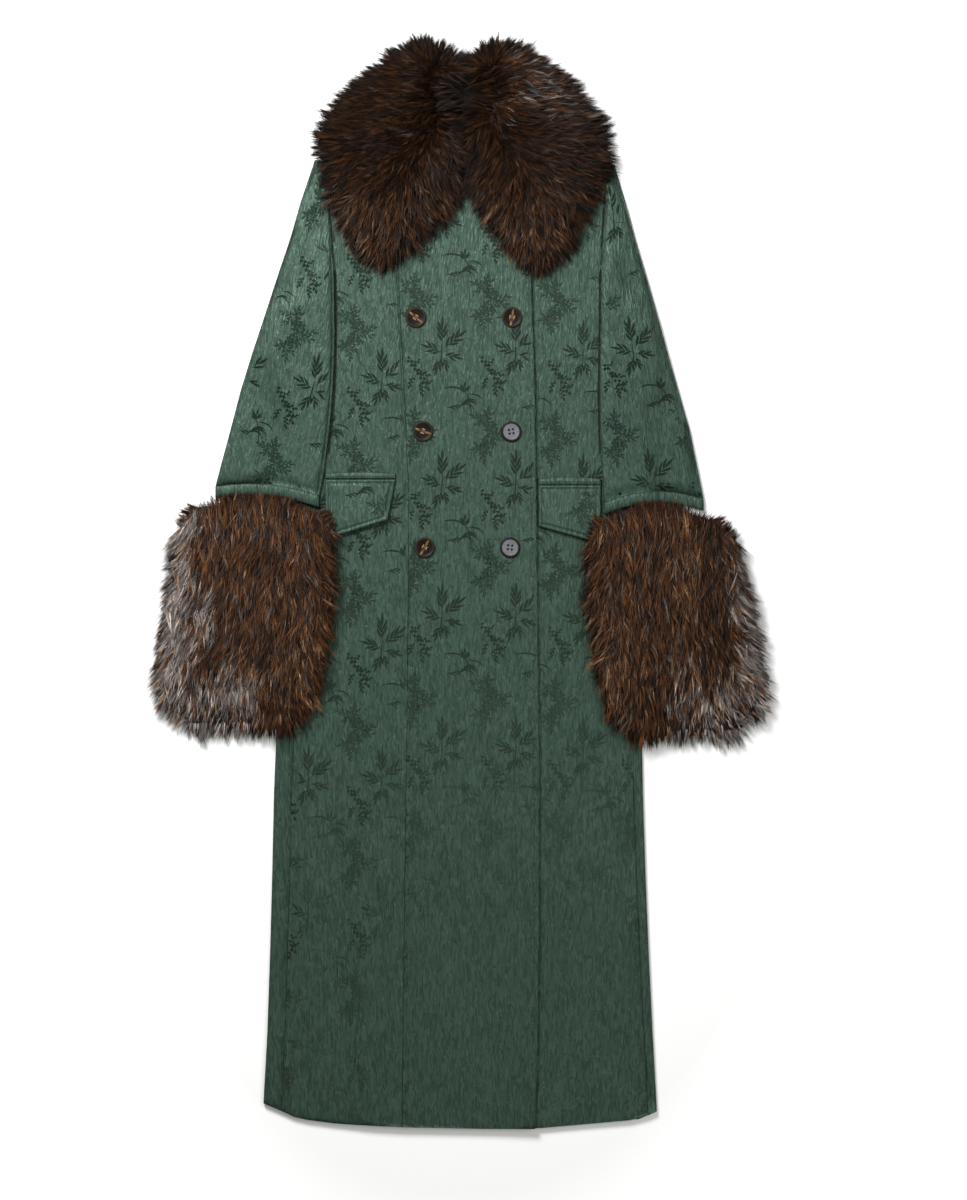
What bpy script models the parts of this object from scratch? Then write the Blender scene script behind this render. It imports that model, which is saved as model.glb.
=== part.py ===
"""Long double-breasted coat with a fur collar and fur cuffs, laid flat on its back.

Sizes are in millimetres until a mesh is made, which is in metres. +X points to the right as the coat is
seen from above, +Y to the collar and +Z up. The floor is z = 0, and the origin lies on it under the middle
of the coat. The wearer's right side is at -X, because the coat lies on its back.
"""
import math
from collections import namedtuple

import bmesh
import bpy
import numpy as np

MM = 0.001
SHARP_ANGLE = math.radians(45)

# Cloth
WALL = 2.6  # satin, interlining and lining of one panel
SEAM = 0.3  # between pieces that are sewn together or lie on each other
LOFT = 1.4  # air between back and fronts, and inside a sleeve
BODY_HEIGHT = 2 * WALL + LOFT
OVERLAP_RISE = WALL + SEAM  # the right front climbs this much to pass over the underlap

# Body
CENTRE_FRONT = 6.5  # x of the line that the two fronts mirror about
RAMP_START, RAMP_END = -152.0, -100.0  # where the right front climbs
LOFT_START, LOFT_END = 520.0, 460.0  # the fronts lie close on the back above, and loose below
HEM_ROW, HEM_TOP = -677.0, -540.0  # rows between these bend towards the hem line
TOP_ROW, TOP_START = 530.0, 400.0  # rows between these bend towards shoulders and neckline
ROWS = (-677, -655, -620, -560, -460, -360, -260, -160, -60, 40, 140, 240, 300, 326, 350, 372,
        395, 420, 450, 485, 512, 530)
COLUMNS = {"back": 9, "front_right_side": 10, "front_right_centre": 9, "front_left_centre": 7,
           "front_left_side": 8}
SIDE_ARC_STEPS = 6
UNDERARM = 372.0

BodyRow = namedtuple("BodyRow", "y right_edge left_edge under right_over left_over")
# edge: where the side rolls over; under and over: how far a side panel reaches in, below and above
BODY = (
    BodyRow(-677, -245.5, 246.0, 40, 22, 11),
    BodyRow(-567, -241.0, 241.0, 40, 22, 11),
    BodyRow(-417, -236.0, 234.0, 40, 22, 11),
    BodyRow(-217, -231.0, 227.5, 40, 22, 11),
    BodyRow(-17, -220.0, 225.0, 40, 22, 11),
    BodyRow(195, -202.0, 214.0, 40, 22, 11),
    BodyRow(326, -210.0, 220.0, 36, 20, 10),
    BodyRow(UNDERARM, -172.0, 184.0, 6, 6, 6),
)
LinePoint = namedtuple("LinePoint", "x y")
HEM = (
    LinePoint(-246, -646), LinePoint(-235, -650), LinePoint(-202, -665), LinePoint(-152, -671.5),
    LinePoint(-72, -675.5), LinePoint(30, -677.5), LinePoint(92, -677.5), LinePoint(134, -674),
    LinePoint(180, -670), LinePoint(224, -666), LinePoint(246, -656),
)
SHOULDERS = (LinePoint(-167, 533), LinePoint(-70, 566), LinePoint(83, 566), LinePoint(187, 525))
SLEEVE_HEADS_AND_SHOULDERS = (LinePoint(-200, 488),) + SHOULDERS + (LinePoint(206, 480),)
NECK_BACK = (LinePoint(-40, 556), LinePoint(6.5, 552), LinePoint(53, 556))
NECK_FRONT = (LinePoint(-50, 541), LinePoint(-20, 522), LinePoint(10, 511), LinePoint(50, 505),
              LinePoint(99, 503))
SeamRow = namedtuple("SeamRow", "y x")
FRONT_EDGE = (SeamRow(-677, 94), SeamRow(-617, 96), SeamRow(-430, 99), SeamRow(-205, 99), SeamRow(45, 96),
              SeamRow(232, 94), SeamRow(395, 89), SeamRow(530, 88))
PRINCESS = (SeamRow(-677, -72), SeamRow(-455, -70), SeamRow(-142, -66), SeamRow(170, -66),
            SeamRow(232, -69), SeamRow(397, -77), SeamRow(530, -77))

# Sleeves
SIGN = {"right": -1.0, "left": 1.0}  # which way a side lies
SleeveRow = namedtuple("SleeveRow", "y inner outer")
SLEEVE = {
    "right": (
        SleeveRow(105, -178, -309.5), SleeveRow(132, -172.5, -302.5), SleeveRow(182, -164, -290),
        SleeveRow(232, -159, -277.5), SleeveRow(282, -156.5, -262.5), SleeveRow(332, -156, -246),
        SleeveRow(395, -157, -225.5), SleeveRow(432, -159, -213), SleeveRow(482, -163, -198.5),
        SleeveRow(532, -166.5, -181.5),
    ),
    "left": (
        SleeveRow(95, 180.5, 311), SleeveRow(132, 179, 301.5), SleeveRow(182, 176, 290.5),
        SleeveRow(232, 174.5, 276.5), SleeveRow(282, 175, 262), SleeveRow(332, 176, 248.5),
        SleeveRow(395, 176.5, 230.5), SleeveRow(432, 179, 219.5), SleeveRow(482, 182, 206),
        SleeveRow(526, 182.5, 193),
    ),
}
SLEEVE_TOP = {"right": 532.0, "left": 526.0}
SLEEVE_ROWS = (120, 150, 195, 245, 290, 326, 350, 372, 384, 395, 410, 425, 440, 480)
# inner, middle and outer point of the seam between a sleeve and its cuff band
BAND_LINE = {
    "right": (LinePoint(-177.5, 113), LinePoint(-243, 127), LinePoint(-306, 124)),
    "left": (LinePoint(181, 104), LinePoint(243, 118), LinePoint(305, 108)),
}
SLEEVE_END_ROW, SLEEVE_END_TOP = 120.0, 200.0  # rows between these bend towards the band's seam
LAP_START, LAP_END = 440.0, 395.0  # the sleeve leaves the armhole and climbs onto the body
LAP_RAMP = 24.0  # it comes down to the floor over this width outside the body's edge
LAP_MARGIN = 12.0  # and stays at full height this far outside it
BAND_HEIGHT = 14.5
BAND_PROUD = 1.0  # the band stands above the sleeve's cloth
CURL_STEPS, FLAT_STEPS = 3, 7

# Fur: the solids reach to the tips of the hair
CuffRow = namedtuple("CuffRow", "y inner outer height")
FUR_CUFF = {
    "right": (
        CuffRow(-178, -206, -342, 15), CuffRow(-150, -183, -375, 30), CuffRow(-117.5, -174, -381, 38),
        CuffRow(-67.5, -165, -376, 42), CuffRow(-17.5, -160, -366, 43), CuffRow(32.5, -157.5, -357.5, 42),
        CuffRow(76, -156.5, -350, 36), CuffRow(101, -169, -337, 22),
    ),
    "left": (
        CuffRow(-187, 206, 350, 15), CuffRow(-153, 181, 379, 30), CuffRow(-117.5, 172, 381, 38),
        CuffRow(-67.5, 165.5, 373, 42), CuffRow(-17.5, 160, 362.5, 43), CuffRow(32.5, 155.5, 351, 42),
        CuffRow(69, 160, 344, 36), CuffRow(92, 172.5, 323, 22),
    ),
}
BAND_TO_FUR = 0.8
CUFF_TOP_BEND = 60.0  # rows this near the top bend towards the band
CUFF_RIM = 8.0  # height of a cuff's side rims
CUFF_UNDERCUT = 6.0  # the underside is this much narrower on each side
HAND_SLOT_SIDE = 45.0  # fur beside the flattened hole for the hand
HAND_SLOT_FLOOR = 9.0  # fur below it
HAND_SLOT_HEIGHT = 3.6
HAND_SLOT_TAPER = 0.98  # its floor is this much of its width
CUFF_CROWN, HAND_SLOT_CROWN = 0.7, 0.5  # powers that round the fur's top and the slot's roof
CUFF_TOP_STEPS, CUFF_BASE_STEPS = 12, 10
FLAP_REACH, FLAP_FADE = 28.0, 24.0  # a cuff clears the flap this far round it, then comes down

CollarRow = namedtuple("CollarRow", "inner_x inner_y outer_x outer_y height")
# sections from the centre back to the tip of each lobe
FUR_COLLAR = {
    "right": (
        CollarRow(5.0, 634, 5.0, 655, 24), CollarRow(-16, 629, -28, 669, 36),
        CollarRow(-21, 618, -58, 676, 44), CollarRow(-15, 602, -100, 646, 48),
        CollarRow(-3, 584, -139, 620, 50), CollarRow(4.2, 565, -165, 583, 50),
        CollarRow(4.2, 530, -173, 546, 47), CollarRow(2, 494, -167, 509, 44),
        CollarRow(-26, 459, -150, 461, 40), CollarRow(-62, 422, -130, 421, 33),
        CollarRow(-90, 402, -108, 403, 14),
    ),
    "left": (
        CollarRow(5.6, 634, 5.6, 655, 24), CollarRow(22, 628, 30, 667, 36),
        CollarRow(28, 617, 58, 675.5, 44), CollarRow(21, 601, 110, 651, 48),
        CollarRow(10, 584, 147, 616, 50), CollarRow(6.6, 565, 173, 581, 50),
        CollarRow(6.6, 530, 185, 545, 47), CollarRow(9, 497, 176, 507, 44),
        CollarRow(31, 463, 158, 467, 40), CollarRow(64, 417, 136, 426, 33),
        CollarRow(88, 396, 106, 396, 14),
    ),
}
COLLAR_SECTIONS, COLLAR_STEPS = 17, 10
COLLAR_RIM = 5.0
COLLAR_REACH = 27.0  # the underside clears everything this near it
STAND_HALF_WIDTH, STAND_ARC_HALF_WIDTH, STAND_RISE = 70.0, 78.0, 76.0
STAND_COLUMNS, STAND_ROWS = 9, 3

# Pockets
PocketEnds = namedtuple("PocketEnds", "inner_top inner_low outer top inner_bottom outer_bottom")
POCKET = {
    "right": PocketEnds(-80, -90.5, -168, 133, 82, 57.5),
    "left": PocketEnds(98, 98, 176, 126, 74, 52.5),
}
FLAP_THICKNESS, WELT_THICKNESS = 2.0, 2.4
WELT_HEIGHT, WELT_ARCH = 7.5, 1.5
POCKET_COLUMNS, FLAP_ROWS = 9, 4

# Buttons
ButtonPlace = namedtuple("ButtonPlace", "x y turn_degrees")
BUTTONS = (
    ButtonPlace(-55, 335, 20), ButtonPlace(-46, 193, 75), ButtonPlace(-44, 48, 5),
    ButtonPlace(65, 335, 50), ButtonPlace(64, 192.5, 30), ButtonPlace(62.5, 48, 40),
)
RingRow = namedtuple("RingRow", "radius z")
BUTTON_PROFILE = (RingRow(11.2, 0), RingRow(12.7, 1.4), RingRow(12.7, 2.8), RingRow(11.5, 4.0),
                  RingRow(9.4, 3.0))
BUTTON_SIDES = 16
DRILL_LENGTH = 20.0
THREAD_HOLE_RADIUS, THREAD_HOLE_OFFSET, THREAD_HOLE_SIDES = 1.1, 2.6, 6

Finish = namedtuple("Finish", "color roughness metallic")
FINISHES = {
    "green_satin": Finish((0.055, 0.125, 0.078), 0.42, 0.0),
    "stand_satin": Finish((0.018, 0.022, 0.024), 0.40, 0.0),
    "brown_fur": Finish((0.075, 0.036, 0.018), 0.85, 0.0),
    "dark_horn": Finish((0.022, 0.015, 0.011), 0.28, 0.0),
}


def smooth_step(t):
    t = np.clip(t, 0.0, 1.0)
    return t * t * (3.0 - 2.0 * t)


def through(places, values, at):
    """A smooth curve through the given values, read at one place or at an array of places."""
    places = np.asarray(places, float)
    values = np.asarray(values, float)
    slopes = np.gradient(values, places)
    at = np.clip(at, places[0], places[-1])
    k = np.clip(np.searchsorted(places, at) - 1, 0, len(places) - 2)
    span = places[k + 1] - places[k]
    t = (at - places[k]) / span
    return ((1 + 2 * t) * (1 - t) ** 2 * values[k] + t * (1 - t) ** 2 * span * slopes[k]
            + t * t * (3 - 2 * t) * values[k + 1] - t * t * (1 - t) * span * slopes[k + 1])


def column(table, name, y):
    """A table's column as a smooth function of its y."""
    return through([row.y for row in table], [getattr(row, name) for row in table], y)


def line(points, x):
    """Height y of a line of points at x."""
    return np.interp(x, [point.x for point in points], [point.y for point in points])


def mirrored(points):
    """A line of points, mirrored about the centre front."""
    return tuple(LinePoint(2 * CENTRE_FRONT - point.x, point.y) for point in reversed(points))


# Plan of the body

def body_edge(side, y):
    """x where the body's side rolls over, carried on to the armhole above the underarm."""
    edge = column(BODY, side + "_edge", y)
    above = np.interp(y, (UNDERARM, LAP_END),
                      (column(BODY, side + "_edge", UNDERARM), column(SLEEVE[side], "inner", LAP_END)))
    return np.where(np.asarray(y) > UNDERARM, above, edge)


def armhole_or_seam(side, y, reach):
    """Outer boundary of a body panel: the side panel's edge up to the underarm, and the armhole above."""
    if y <= UNDERARM:
        return body_edge(side, y) - SIGN[side] * (column(BODY, reach, y) + SEAM)
    return column(SLEEVE[side], "inner", max(y, LAP_END)) - SIGN[side] * SEAM


def plan_y(x, row, top):
    """y of a panel's point: straight rows in the middle that bend to the hem and to the panel's top line."""
    fall = smooth_step((HEM_TOP - row) / (HEM_TOP - HEM_ROW))
    rise = smooth_step((row - TOP_START) / (TOP_ROW - TOP_START))
    return row + (line(HEM, x) - HEM_ROW) * fall + (line(top, x) - TOP_ROW) * rise


TOP_RIGHT = SHOULDERS[:2] + NECK_FRONT
TOP_LEFT = mirrored(NECK_FRONT) + SHOULDERS[2:]
TOP_BACK = SHOULDERS[:2] + NECK_BACK + SHOULDERS[2:]


# Heights

def gap_above_back(y):
    return SEAM + (LOFT - SEAM) * smooth_step((LOFT_START - y) / (LOFT_START - LOFT_END))


def overlap_rise(x):
    return OVERLAP_RISE * smooth_step((x - RAMP_START) / (RAMP_END - RAMP_START))


def front_top(side, x, y):
    """Height of a front's outer face."""
    level = 2 * WALL + gap_above_back(y)
    return level + overlap_rise(x) if side == "right" else level + 0.0 * x


def lap_height(side, x, y):
    """Height of the support under a sleeve or a cuff: the body where it lies on it, and the floor outside."""
    outside = SIGN[side] * (x - body_edge(side, y)) - LAP_MARGIN
    on_body = 1.0 - smooth_step(outside / LAP_RAMP)
    climb = smooth_step((LAP_START - y) / (LAP_START - LAP_END))
    return (BODY_HEIGHT + SEAM) * on_body * climb


# Meshes

def material(name):
    finish = FINISHES[name]
    made = bpy.data.materials.new(name)
    made.use_nodes = True
    shader = made.node_tree.nodes["Principled BSDF"]
    shader.inputs["Base Color"].default_value = (*finish.color, 1.0)
    shader.inputs["Roughness"].default_value = finish.roughness
    shader.inputs["Metallic"].default_value = finish.metallic
    return made


def add_object(name, mesh, finish):
    mesh.shade_smooth()
    mesh.set_sharp_from_angle(angle=SHARP_ANGLE)
    mesh.materials.append(bpy.data.materials.get(finish) or material(finish))
    made = bpy.data.objects.new(name, mesh)
    bpy.context.collection.objects.link(made)
    made.parent = bpy.data.objects["coat"]
    return made


def mesh_from(name, points, faces):
    mesh = bpy.data.meshes.new(name)
    mesh.from_pydata((np.asarray(points) * MM).tolist(), [], faces)
    work = bmesh.new()
    work.from_mesh(mesh)
    bmesh.ops.recalc_face_normals(work, faces=work.faces)
    work.to_mesh(mesh)
    work.free()
    return mesh


def shell(name, outer, inner, finish, ring=False):
    """Closes a grid of outer points and the grid of inner points behind it into one wall."""
    rows, columns = outer.shape[:2]
    behind = rows * columns
    last = columns if ring else columns - 1
    faces = []
    for c in range(last):
        d = (c + 1) % columns
        for r in range(rows - 1):
            corners = (r * columns + c, r * columns + d, (r + 1) * columns + d, (r + 1) * columns + c)
            faces.append(corners)
            faces.append(tuple(behind + corner for corner in reversed(corners)))
        for start in (0, (rows - 1) * columns):
            faces.append((start + c, start + d, behind + start + d, behind + start + c))
    if not ring:
        for r in range(rows - 1):
            for c in (0, columns - 1):
                near, far = r * columns + c, (r + 1) * columns + c
                faces.append((near, far, behind + far, behind + near))
    points = np.concatenate([outer.reshape(-1, 3), inner.reshape(-1, 3)])
    return add_object(name, mesh_from(name, points, faces), finish)


# Body panels

def flat_panel(name, top, left_side, right_side, underside):
    """A panel between two boundaries, whose wall stands on the given underside."""
    lower = np.zeros((len(ROWS), COLUMNS[name], 3))
    for r, row in enumerate(ROWS):
        x = np.linspace(left_side(row), right_side(row), COLUMNS[name])
        y = plan_y(x, row, top)
        lower[r] = np.stack([x, y, underside(x, y)], axis=1)
    upper = lower + np.array([0.0, 0.0, WALL])
    return shell(name, upper, lower, "green_satin")


def back_edge(side):
    return lambda y: armhole_or_seam(side, y, "under")


def make_back():
    flat_panel("back", TOP_BACK, back_edge("right"), back_edge("left"), lambda x, y: 0.0 * x)


def make_fronts():
    def front_edge(y):
        return column(FRONT_EDGE, "x", y)

    def princess(y):
        return column(PRINCESS, "x", y)

    def under_right(x, y):
        return front_top("right", x, y) - WALL

    def under_left(x, y):
        return front_top("left", x, y) - WALL

    half = SEAM / 2
    flat_panel("front_right_side", TOP_RIGHT, lambda y: armhole_or_seam("right", y, "right_over"),
               lambda y: princess(y) - half, under_right)
    flat_panel("front_right_centre", TOP_RIGHT, lambda y: princess(y) + half, front_edge, under_right)
    flat_panel("front_left_centre", TOP_LEFT, lambda y: 2 * CENTRE_FRONT - front_edge(y),
               lambda y: 2 * CENTRE_FRONT - princess(y) - half, under_left)
    flat_panel("front_left_side", TOP_LEFT, lambda y: 2 * CENTRE_FRONT - princess(y) + half,
               lambda y: armhole_or_seam("left", y, "left_over"), under_left)


def side_section(under, over):
    """A strip that comes from below, rolls round the edge and ends above: reach in, height and normal."""
    radius = BODY_HEIGHT / 2
    section = [(under, 0.0, 0.0, -1.0), ((under + radius) / 2, 0.0, 0.0, -1.0)]
    for angle in np.linspace(0.0, math.pi, SIDE_ARC_STEPS + 1):
        section.append((radius - radius * math.sin(angle), radius - radius * math.cos(angle),
                        -math.sin(angle), -math.cos(angle)))
    section.append((over, BODY_HEIGHT, 0.0, 1.0))
    return np.array(section)


def make_side_panels():
    for side, sign in SIGN.items():
        rows = [row for row in ROWS if row <= UNDERARM]
        outer, inner = [], []
        for row in rows:
            under, over = column(BODY, "under", row), column(BODY, side + "_over", row)
            reach, z, reach_normal, z_normal = side_section(under, over).T
            for points, depth in ((outer, 0.0), (inner, WALL)):
                x = body_edge(side, row) - sign * (reach - depth * reach_normal)
                y = plan_y(x, row, TOP_BACK)
                points.append(np.stack([x, y, z - depth * z_normal], axis=1))
        shell("side_panel_" + side, np.array(outer), np.array(inner), "green_satin")


# Sleeves

def band_line(side, x):
    """y of the seam between sleeve and band, an arch through its three points."""
    points = BAND_LINE[side]
    arch = np.polyfit([point.x for point in points], [point.y for point in points], 2)
    return np.polyval(arch, x)


def curl(radius, roll):
    """An edge's last stretch, bent down by a quarter turn times roll: advance, drop and angle."""
    step = np.linspace(0.0, 1.0, CURL_STEPS + 1)
    angle = max(roll, 0.001) * math.pi / 2 * step
    bend_radius = radius / max(roll, 0.001)
    return bend_radius * np.sin(angle), bend_radius * (1 - np.cos(angle)), angle


def half_section(width, height, roll_inner):
    """Upper half of a sleeve, from its inner to its outer edge: place across, height and normal."""
    radius = (height - SEAM) / 2
    advance, drop, angle = curl(radius, roll_inner)
    edge_in = np.stack([advance[-1] - advance, height - drop, -np.sin(angle), np.cos(angle)], axis=1)[::-1]
    advance_out, drop_out, angle_out = curl(radius, 1.0)
    edge_out = np.stack([width - advance_out[-1] + advance_out, height - drop_out, np.sin(angle_out),
                         np.cos(angle_out)], axis=1)
    across = np.linspace(advance[-1], width - advance_out[-1], FLAT_STEPS + 1)[1:-1]
    flat = np.stack([across, 0 * across + height, 0 * across, 0 * across + 1], axis=1)
    return np.concatenate([edge_in, flat, edge_out])


def sleeve_row(side, row):
    """Inner x, width and height of a sleeve at a row, and how far its inner edge is rolled."""
    inner, outer = column(SLEEVE[side], "inner", row), column(SLEEVE[side], "outer", row)
    roll = smooth_step((LAP_START - row) / (LAP_START - LAP_END))
    return inner, abs(outer - inner), 2 * WALL + gap_above_back(row), roll


def make_sleeves():
    for side, sign in SIGN.items():
        halves = {"sleeve_top_": ([], []), "sleeve_under_": ([], [])}
        for row in SLEEVE_ROWS + (SLEEVE_TOP[side],):
            inner_x, width, height, roll = sleeve_row(side, row)
            across, z, across_normal, z_normal = half_section(width, height, roll).T
            bend = smooth_step((SLEEVE_END_TOP - row) / (SLEEVE_END_TOP - SLEEVE_END_ROW))
            support = lap_height(side, inner_x + sign * across, row)
            for name, walls in halves.items():
                for points, depth in zip(walls, (0.0, WALL)):
                    x = inner_x + sign * (across - depth * across_normal)
                    y = row + (band_line(side, x) + SEAM - SLEEVE_END_ROW) * bend
                    level = np.maximum(z - depth * z_normal, (height + SEAM) / 2)
                    lifted = level if name == "sleeve_top_" else height - level
                    points.append(np.stack([x, y, lifted + support], axis=1))
        for name, (outer, inner) in halves.items():
            shell(name + side, np.array(outer), np.array(inner), "green_satin")


def make_cuff_bands():
    for side, sign in SIGN.items():
        inner_x, width, height, roll = sleeve_row(side, SLEEVE_END_ROW)
        upper = half_section(width, height + BAND_PROUD, roll)
        lower = upper[::-1] * np.array([1, -1, 1, -1]) + np.array([0, height + BAND_PROUD, 0, 0])
        across, z, across_normal, z_normal = np.concatenate([upper, lower]).T
        support = lap_height(side, inner_x + sign * across, SLEEVE_END_ROW)
        walls = []
        for depth in (0.0, WALL):
            x = inner_x + sign * (across - depth * across_normal)
            rows = [np.stack([x, band_line(side, x) - drop, z - depth * z_normal + support], axis=1)
                    for drop in (0.0, BAND_HEIGHT)]
            walls.append(np.array(rows))
        shell("cuff_band_" + side, *walls, "green_satin", ring=True)


# Fur

def cuff_support(side, x, y):
    """Height under a fur cuff, which also passes over the outer end of the pocket flap."""
    pocket = POCKET[side]
    over_flap = smooth_step((abs(pocket.outer) + FLAP_REACH + FLAP_FADE - abs(x)) / FLAP_FADE)
    beside_flap = smooth_step((y - pocket.outer_bottom + FLAP_REACH + FLAP_FADE) / FLAP_FADE)
    return lap_height(side, x, y) + (FLAP_THICKNESS + SEAM) * over_flap * beside_flap


def make_fur_cuffs():
    angle = np.linspace(0.0, math.pi, CUFF_TOP_STEPS + 1)
    base = np.linspace(-1.0, 1.0, CUFF_BASE_STEPS + 1)
    for side in SIGN:
        table = FUR_CUFF[side]
        outer, slot = [], []
        for row in table:
            middle, half = (row.inner + row.outer) / 2, abs(row.outer - row.inner) / 2
            hole = half - HAND_SLOT_SIDE
            bend = smooth_step(1 - (table[-1].y - row.y) / CUFF_TOP_BEND)
            crown = CUFF_RIM + (row.height - CUFF_RIM) * np.sin(angle) ** CUFF_CROWN
            slot_crown = HAND_SLOT_FLOOR + HAND_SLOT_HEIGHT * np.sin(angle) ** HAND_SLOT_CROWN
            over = np.stack([half * np.cos(angle), crown], axis=1)
            under = np.stack([(half - CUFF_UNDERCUT) * base, 0 * base], axis=1)
            roof = np.stack([hole * np.cos(angle), slot_crown], axis=1)
            floor = np.stack([hole * base * HAND_SLOT_TAPER, 0 * base + HAND_SLOT_FLOOR - SEAM], axis=1)
            for points, section in ((outer, (over, under)), (slot, (roof, floor))):
                across, z = np.concatenate(section).T
                x = middle + across
                top = band_line(side, x) - BAND_HEIGHT - BAND_TO_FUR
                y = row.y + (top - table[-1].y) * bend
                points.append(np.stack([x, y, z + cuff_support(side, x, y)], axis=1))
        shell("fur_cuff_" + side, np.array(outer), np.array(slot), "brown_fur", ring=True)


def stand_edge(x):
    """Upper edge of the collar stand."""
    return SHOULDERS[1].y + STAND_RISE * (1 - ((x - CENTRE_FRONT) / STAND_ARC_HALF_WIDTH) ** 2)


def layers_top(x, y):
    """Height of the cloth below the collar, at one place of the plan."""
    if y > line(SLEEVE_HEADS_AND_SHOULDERS, x):
        return WALL if y < stand_edge(x) else 0.0
    overlapped = RAMP_START < x < column(FRONT_EDGE, "x", y) and y < line(TOP_RIGHT, x)
    return BODY_HEIGHT + OVERLAP_RISE if overlapped else BODY_HEIGHT


def collar_support(x, y):
    """Highest cloth within reach of a place under the collar, with the seam gap on it."""
    around = [(0.0, 0.0)]
    for angle in np.linspace(0.0, 2 * math.pi, 13)[:-1]:
        for reach in (COLLAR_REACH / 3, 2 * COLLAR_REACH / 3, COLLAR_REACH):
            around.append((reach * math.cos(angle), reach * math.sin(angle)))
    highest = max(layers_top(x + dx, y + dy) for dx, dy in around)
    return highest + SEAM if highest > 0.0 else 0.0


def make_fur_collar():
    steps = np.linspace(0.0, math.pi, COLLAR_STEPS + 1)
    across, dome = (1 - np.cos(steps)) / 2, np.sin(steps)
    for side, table in FUR_COLLAR.items():
        numbers = np.arange(len(table))
        top, under = [], []
        for at in np.linspace(0, len(table) - 1, COLLAR_SECTIONS):
            row = CollarRow(*(through(numbers, values, at) for values in zip(*table)))
            x = row.inner_x + (row.outer_x - row.inner_x) * across
            y = row.inner_y + (row.outer_y - row.inner_y) * across
            base = np.array([collar_support(*place) for place in zip(x, y)])
            under.append(np.stack([x, y, base], axis=1))
            top.append(np.stack([x, y, base + COLLAR_RIM + (row.height - COLLAR_RIM) * dome], axis=1))
        shell("fur_collar_" + side, np.array(top), np.array(under), "brown_fur")


def make_collar_stand():
    x = CENTRE_FRONT + np.linspace(-STAND_HALF_WIDTH, STAND_HALF_WIDTH, STAND_COLUMNS)
    back_x = np.linspace(back_edge("right")(TOP_ROW), back_edge("left")(TOP_ROW), COLUMNS["back"])
    low, high = np.interp(x, back_x, line(TOP_BACK, back_x)) + SEAM, stand_edge(x)
    under = np.array([np.stack([x, low + (high - low) * share, 0 * x], axis=1)
                      for share in np.linspace(0.0, 1.0, STAND_ROWS)])
    shell("collar_stand", under + np.array([0.0, 0.0, WALL]), under, "stand_satin")


# Pockets and buttons

def laid_plate(name, side, x, y, thickness):
    """A plate on a front, made from the front's own heights moved out."""
    z = front_top(side, x, y) + SEAM
    under = np.stack([x, y, z], axis=-1)
    shell(name, under + np.array([0.0, 0.0, thickness]), under, "green_satin")


def make_pockets():
    share = np.linspace(0.0, 1.0, POCKET_COLUMNS)
    for side, pocket in POCKET.items():
        drop = np.linspace(0.0, 1.0, FLAP_ROWS)[:, None]
        inner = pocket.inner_top + (pocket.inner_low - pocket.inner_top) * drop
        x = inner + (pocket.outer - inner) * share
        bottom = pocket.inner_bottom + (pocket.outer_bottom - pocket.inner_bottom) * share
        y = pocket.top + (bottom - pocket.top) * drop
        laid_plate("pocket_flap_" + side, side, x, y, FLAP_THICKNESS)
        x = np.repeat((pocket.inner_top + (pocket.outer - pocket.inner_top) * share)[None], 2, axis=0)
        arch = WELT_ARCH * 4 * share * (1 - share)
        y = pocket.top + SEAM + np.stack([0 * share, WELT_HEIGHT + arch])
        laid_plate("pocket_welt_" + side, side, x, y, WELT_THICKNESS)


def button_mesh():
    """A turned disc with a raised rim and four holes for the thread."""
    turn = np.linspace(0.0, 2 * math.pi, BUTTON_SIDES, endpoint=False)
    points = [(ring.radius * math.cos(a), ring.radius * math.sin(a), ring.z)
              for ring in BUTTON_PROFILE for a in turn]
    faces = [tuple(reversed(range(BUTTON_SIDES))), tuple(range(len(points) - BUTTON_SIDES, len(points)))]
    for ring in range(len(BUTTON_PROFILE) - 1):
        for k in range(BUTTON_SIDES):
            low, after = ring * BUTTON_SIDES + k, ring * BUTTON_SIDES + (k + 1) % BUTTON_SIDES
            faces.append((low, after, after + BUTTON_SIDES, low + BUTTON_SIDES))
    disc = bpy.data.objects.new("button_blank", mesh_from("button_blank", points, faces))
    drills = bmesh.new()
    for x in (-THREAD_HOLE_OFFSET, THREAD_HOLE_OFFSET):
        for y in (-THREAD_HOLE_OFFSET, THREAD_HOLE_OFFSET):
            radius = THREAD_HOLE_RADIUS * MM
            made = bmesh.ops.create_cone(drills, cap_ends=True, segments=THREAD_HOLE_SIDES,
                                         depth=DRILL_LENGTH * MM, radius1=radius, radius2=radius)
            bmesh.ops.translate(drills, verts=made["verts"], vec=(x * MM, y * MM, 0.0))
    drill_mesh = bpy.data.meshes.new("thread_drills")
    drills.to_mesh(drill_mesh)
    drills.free()
    cutter = bpy.data.objects.new("thread_drills", drill_mesh)
    for made in (disc, cutter):
        bpy.context.collection.objects.link(made)
    cut = disc.modifiers.new("thread_holes", "BOOLEAN")
    cut.operation = "DIFFERENCE"
    cut.object = cutter
    bpy.context.view_layer.update()
    mesh = bpy.data.meshes.new_from_object(disc.evaluated_get(bpy.context.evaluated_depsgraph_get()))
    for made in (disc, cutter):
        bpy.data.objects.remove(made)
    return mesh


def make_buttons():
    mesh = button_mesh()
    for number, place in enumerate(BUTTONS, start=1):
        button = add_object(f"button_{number}", mesh.copy(), "dark_horn")
        level = front_top("right", place.x, place.y) + SEAM
        button.location = (place.x * MM, place.y * MM, level * MM)
        button.rotation_euler.z = math.radians(place.turn_degrees)
    bpy.data.meshes.remove(mesh)


def main():
    for leftover in list(bpy.data.objects):
        bpy.data.objects.remove(leftover)
    bpy.context.collection.objects.link(bpy.data.objects.new("coat", None))
    make_back()
    make_fronts()
    make_side_panels()
    make_sleeves()
    make_cuff_bands()
    make_fur_cuffs()
    make_collar_stand()
    make_fur_collar()
    make_pockets()
    make_buttons()


main()
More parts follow.
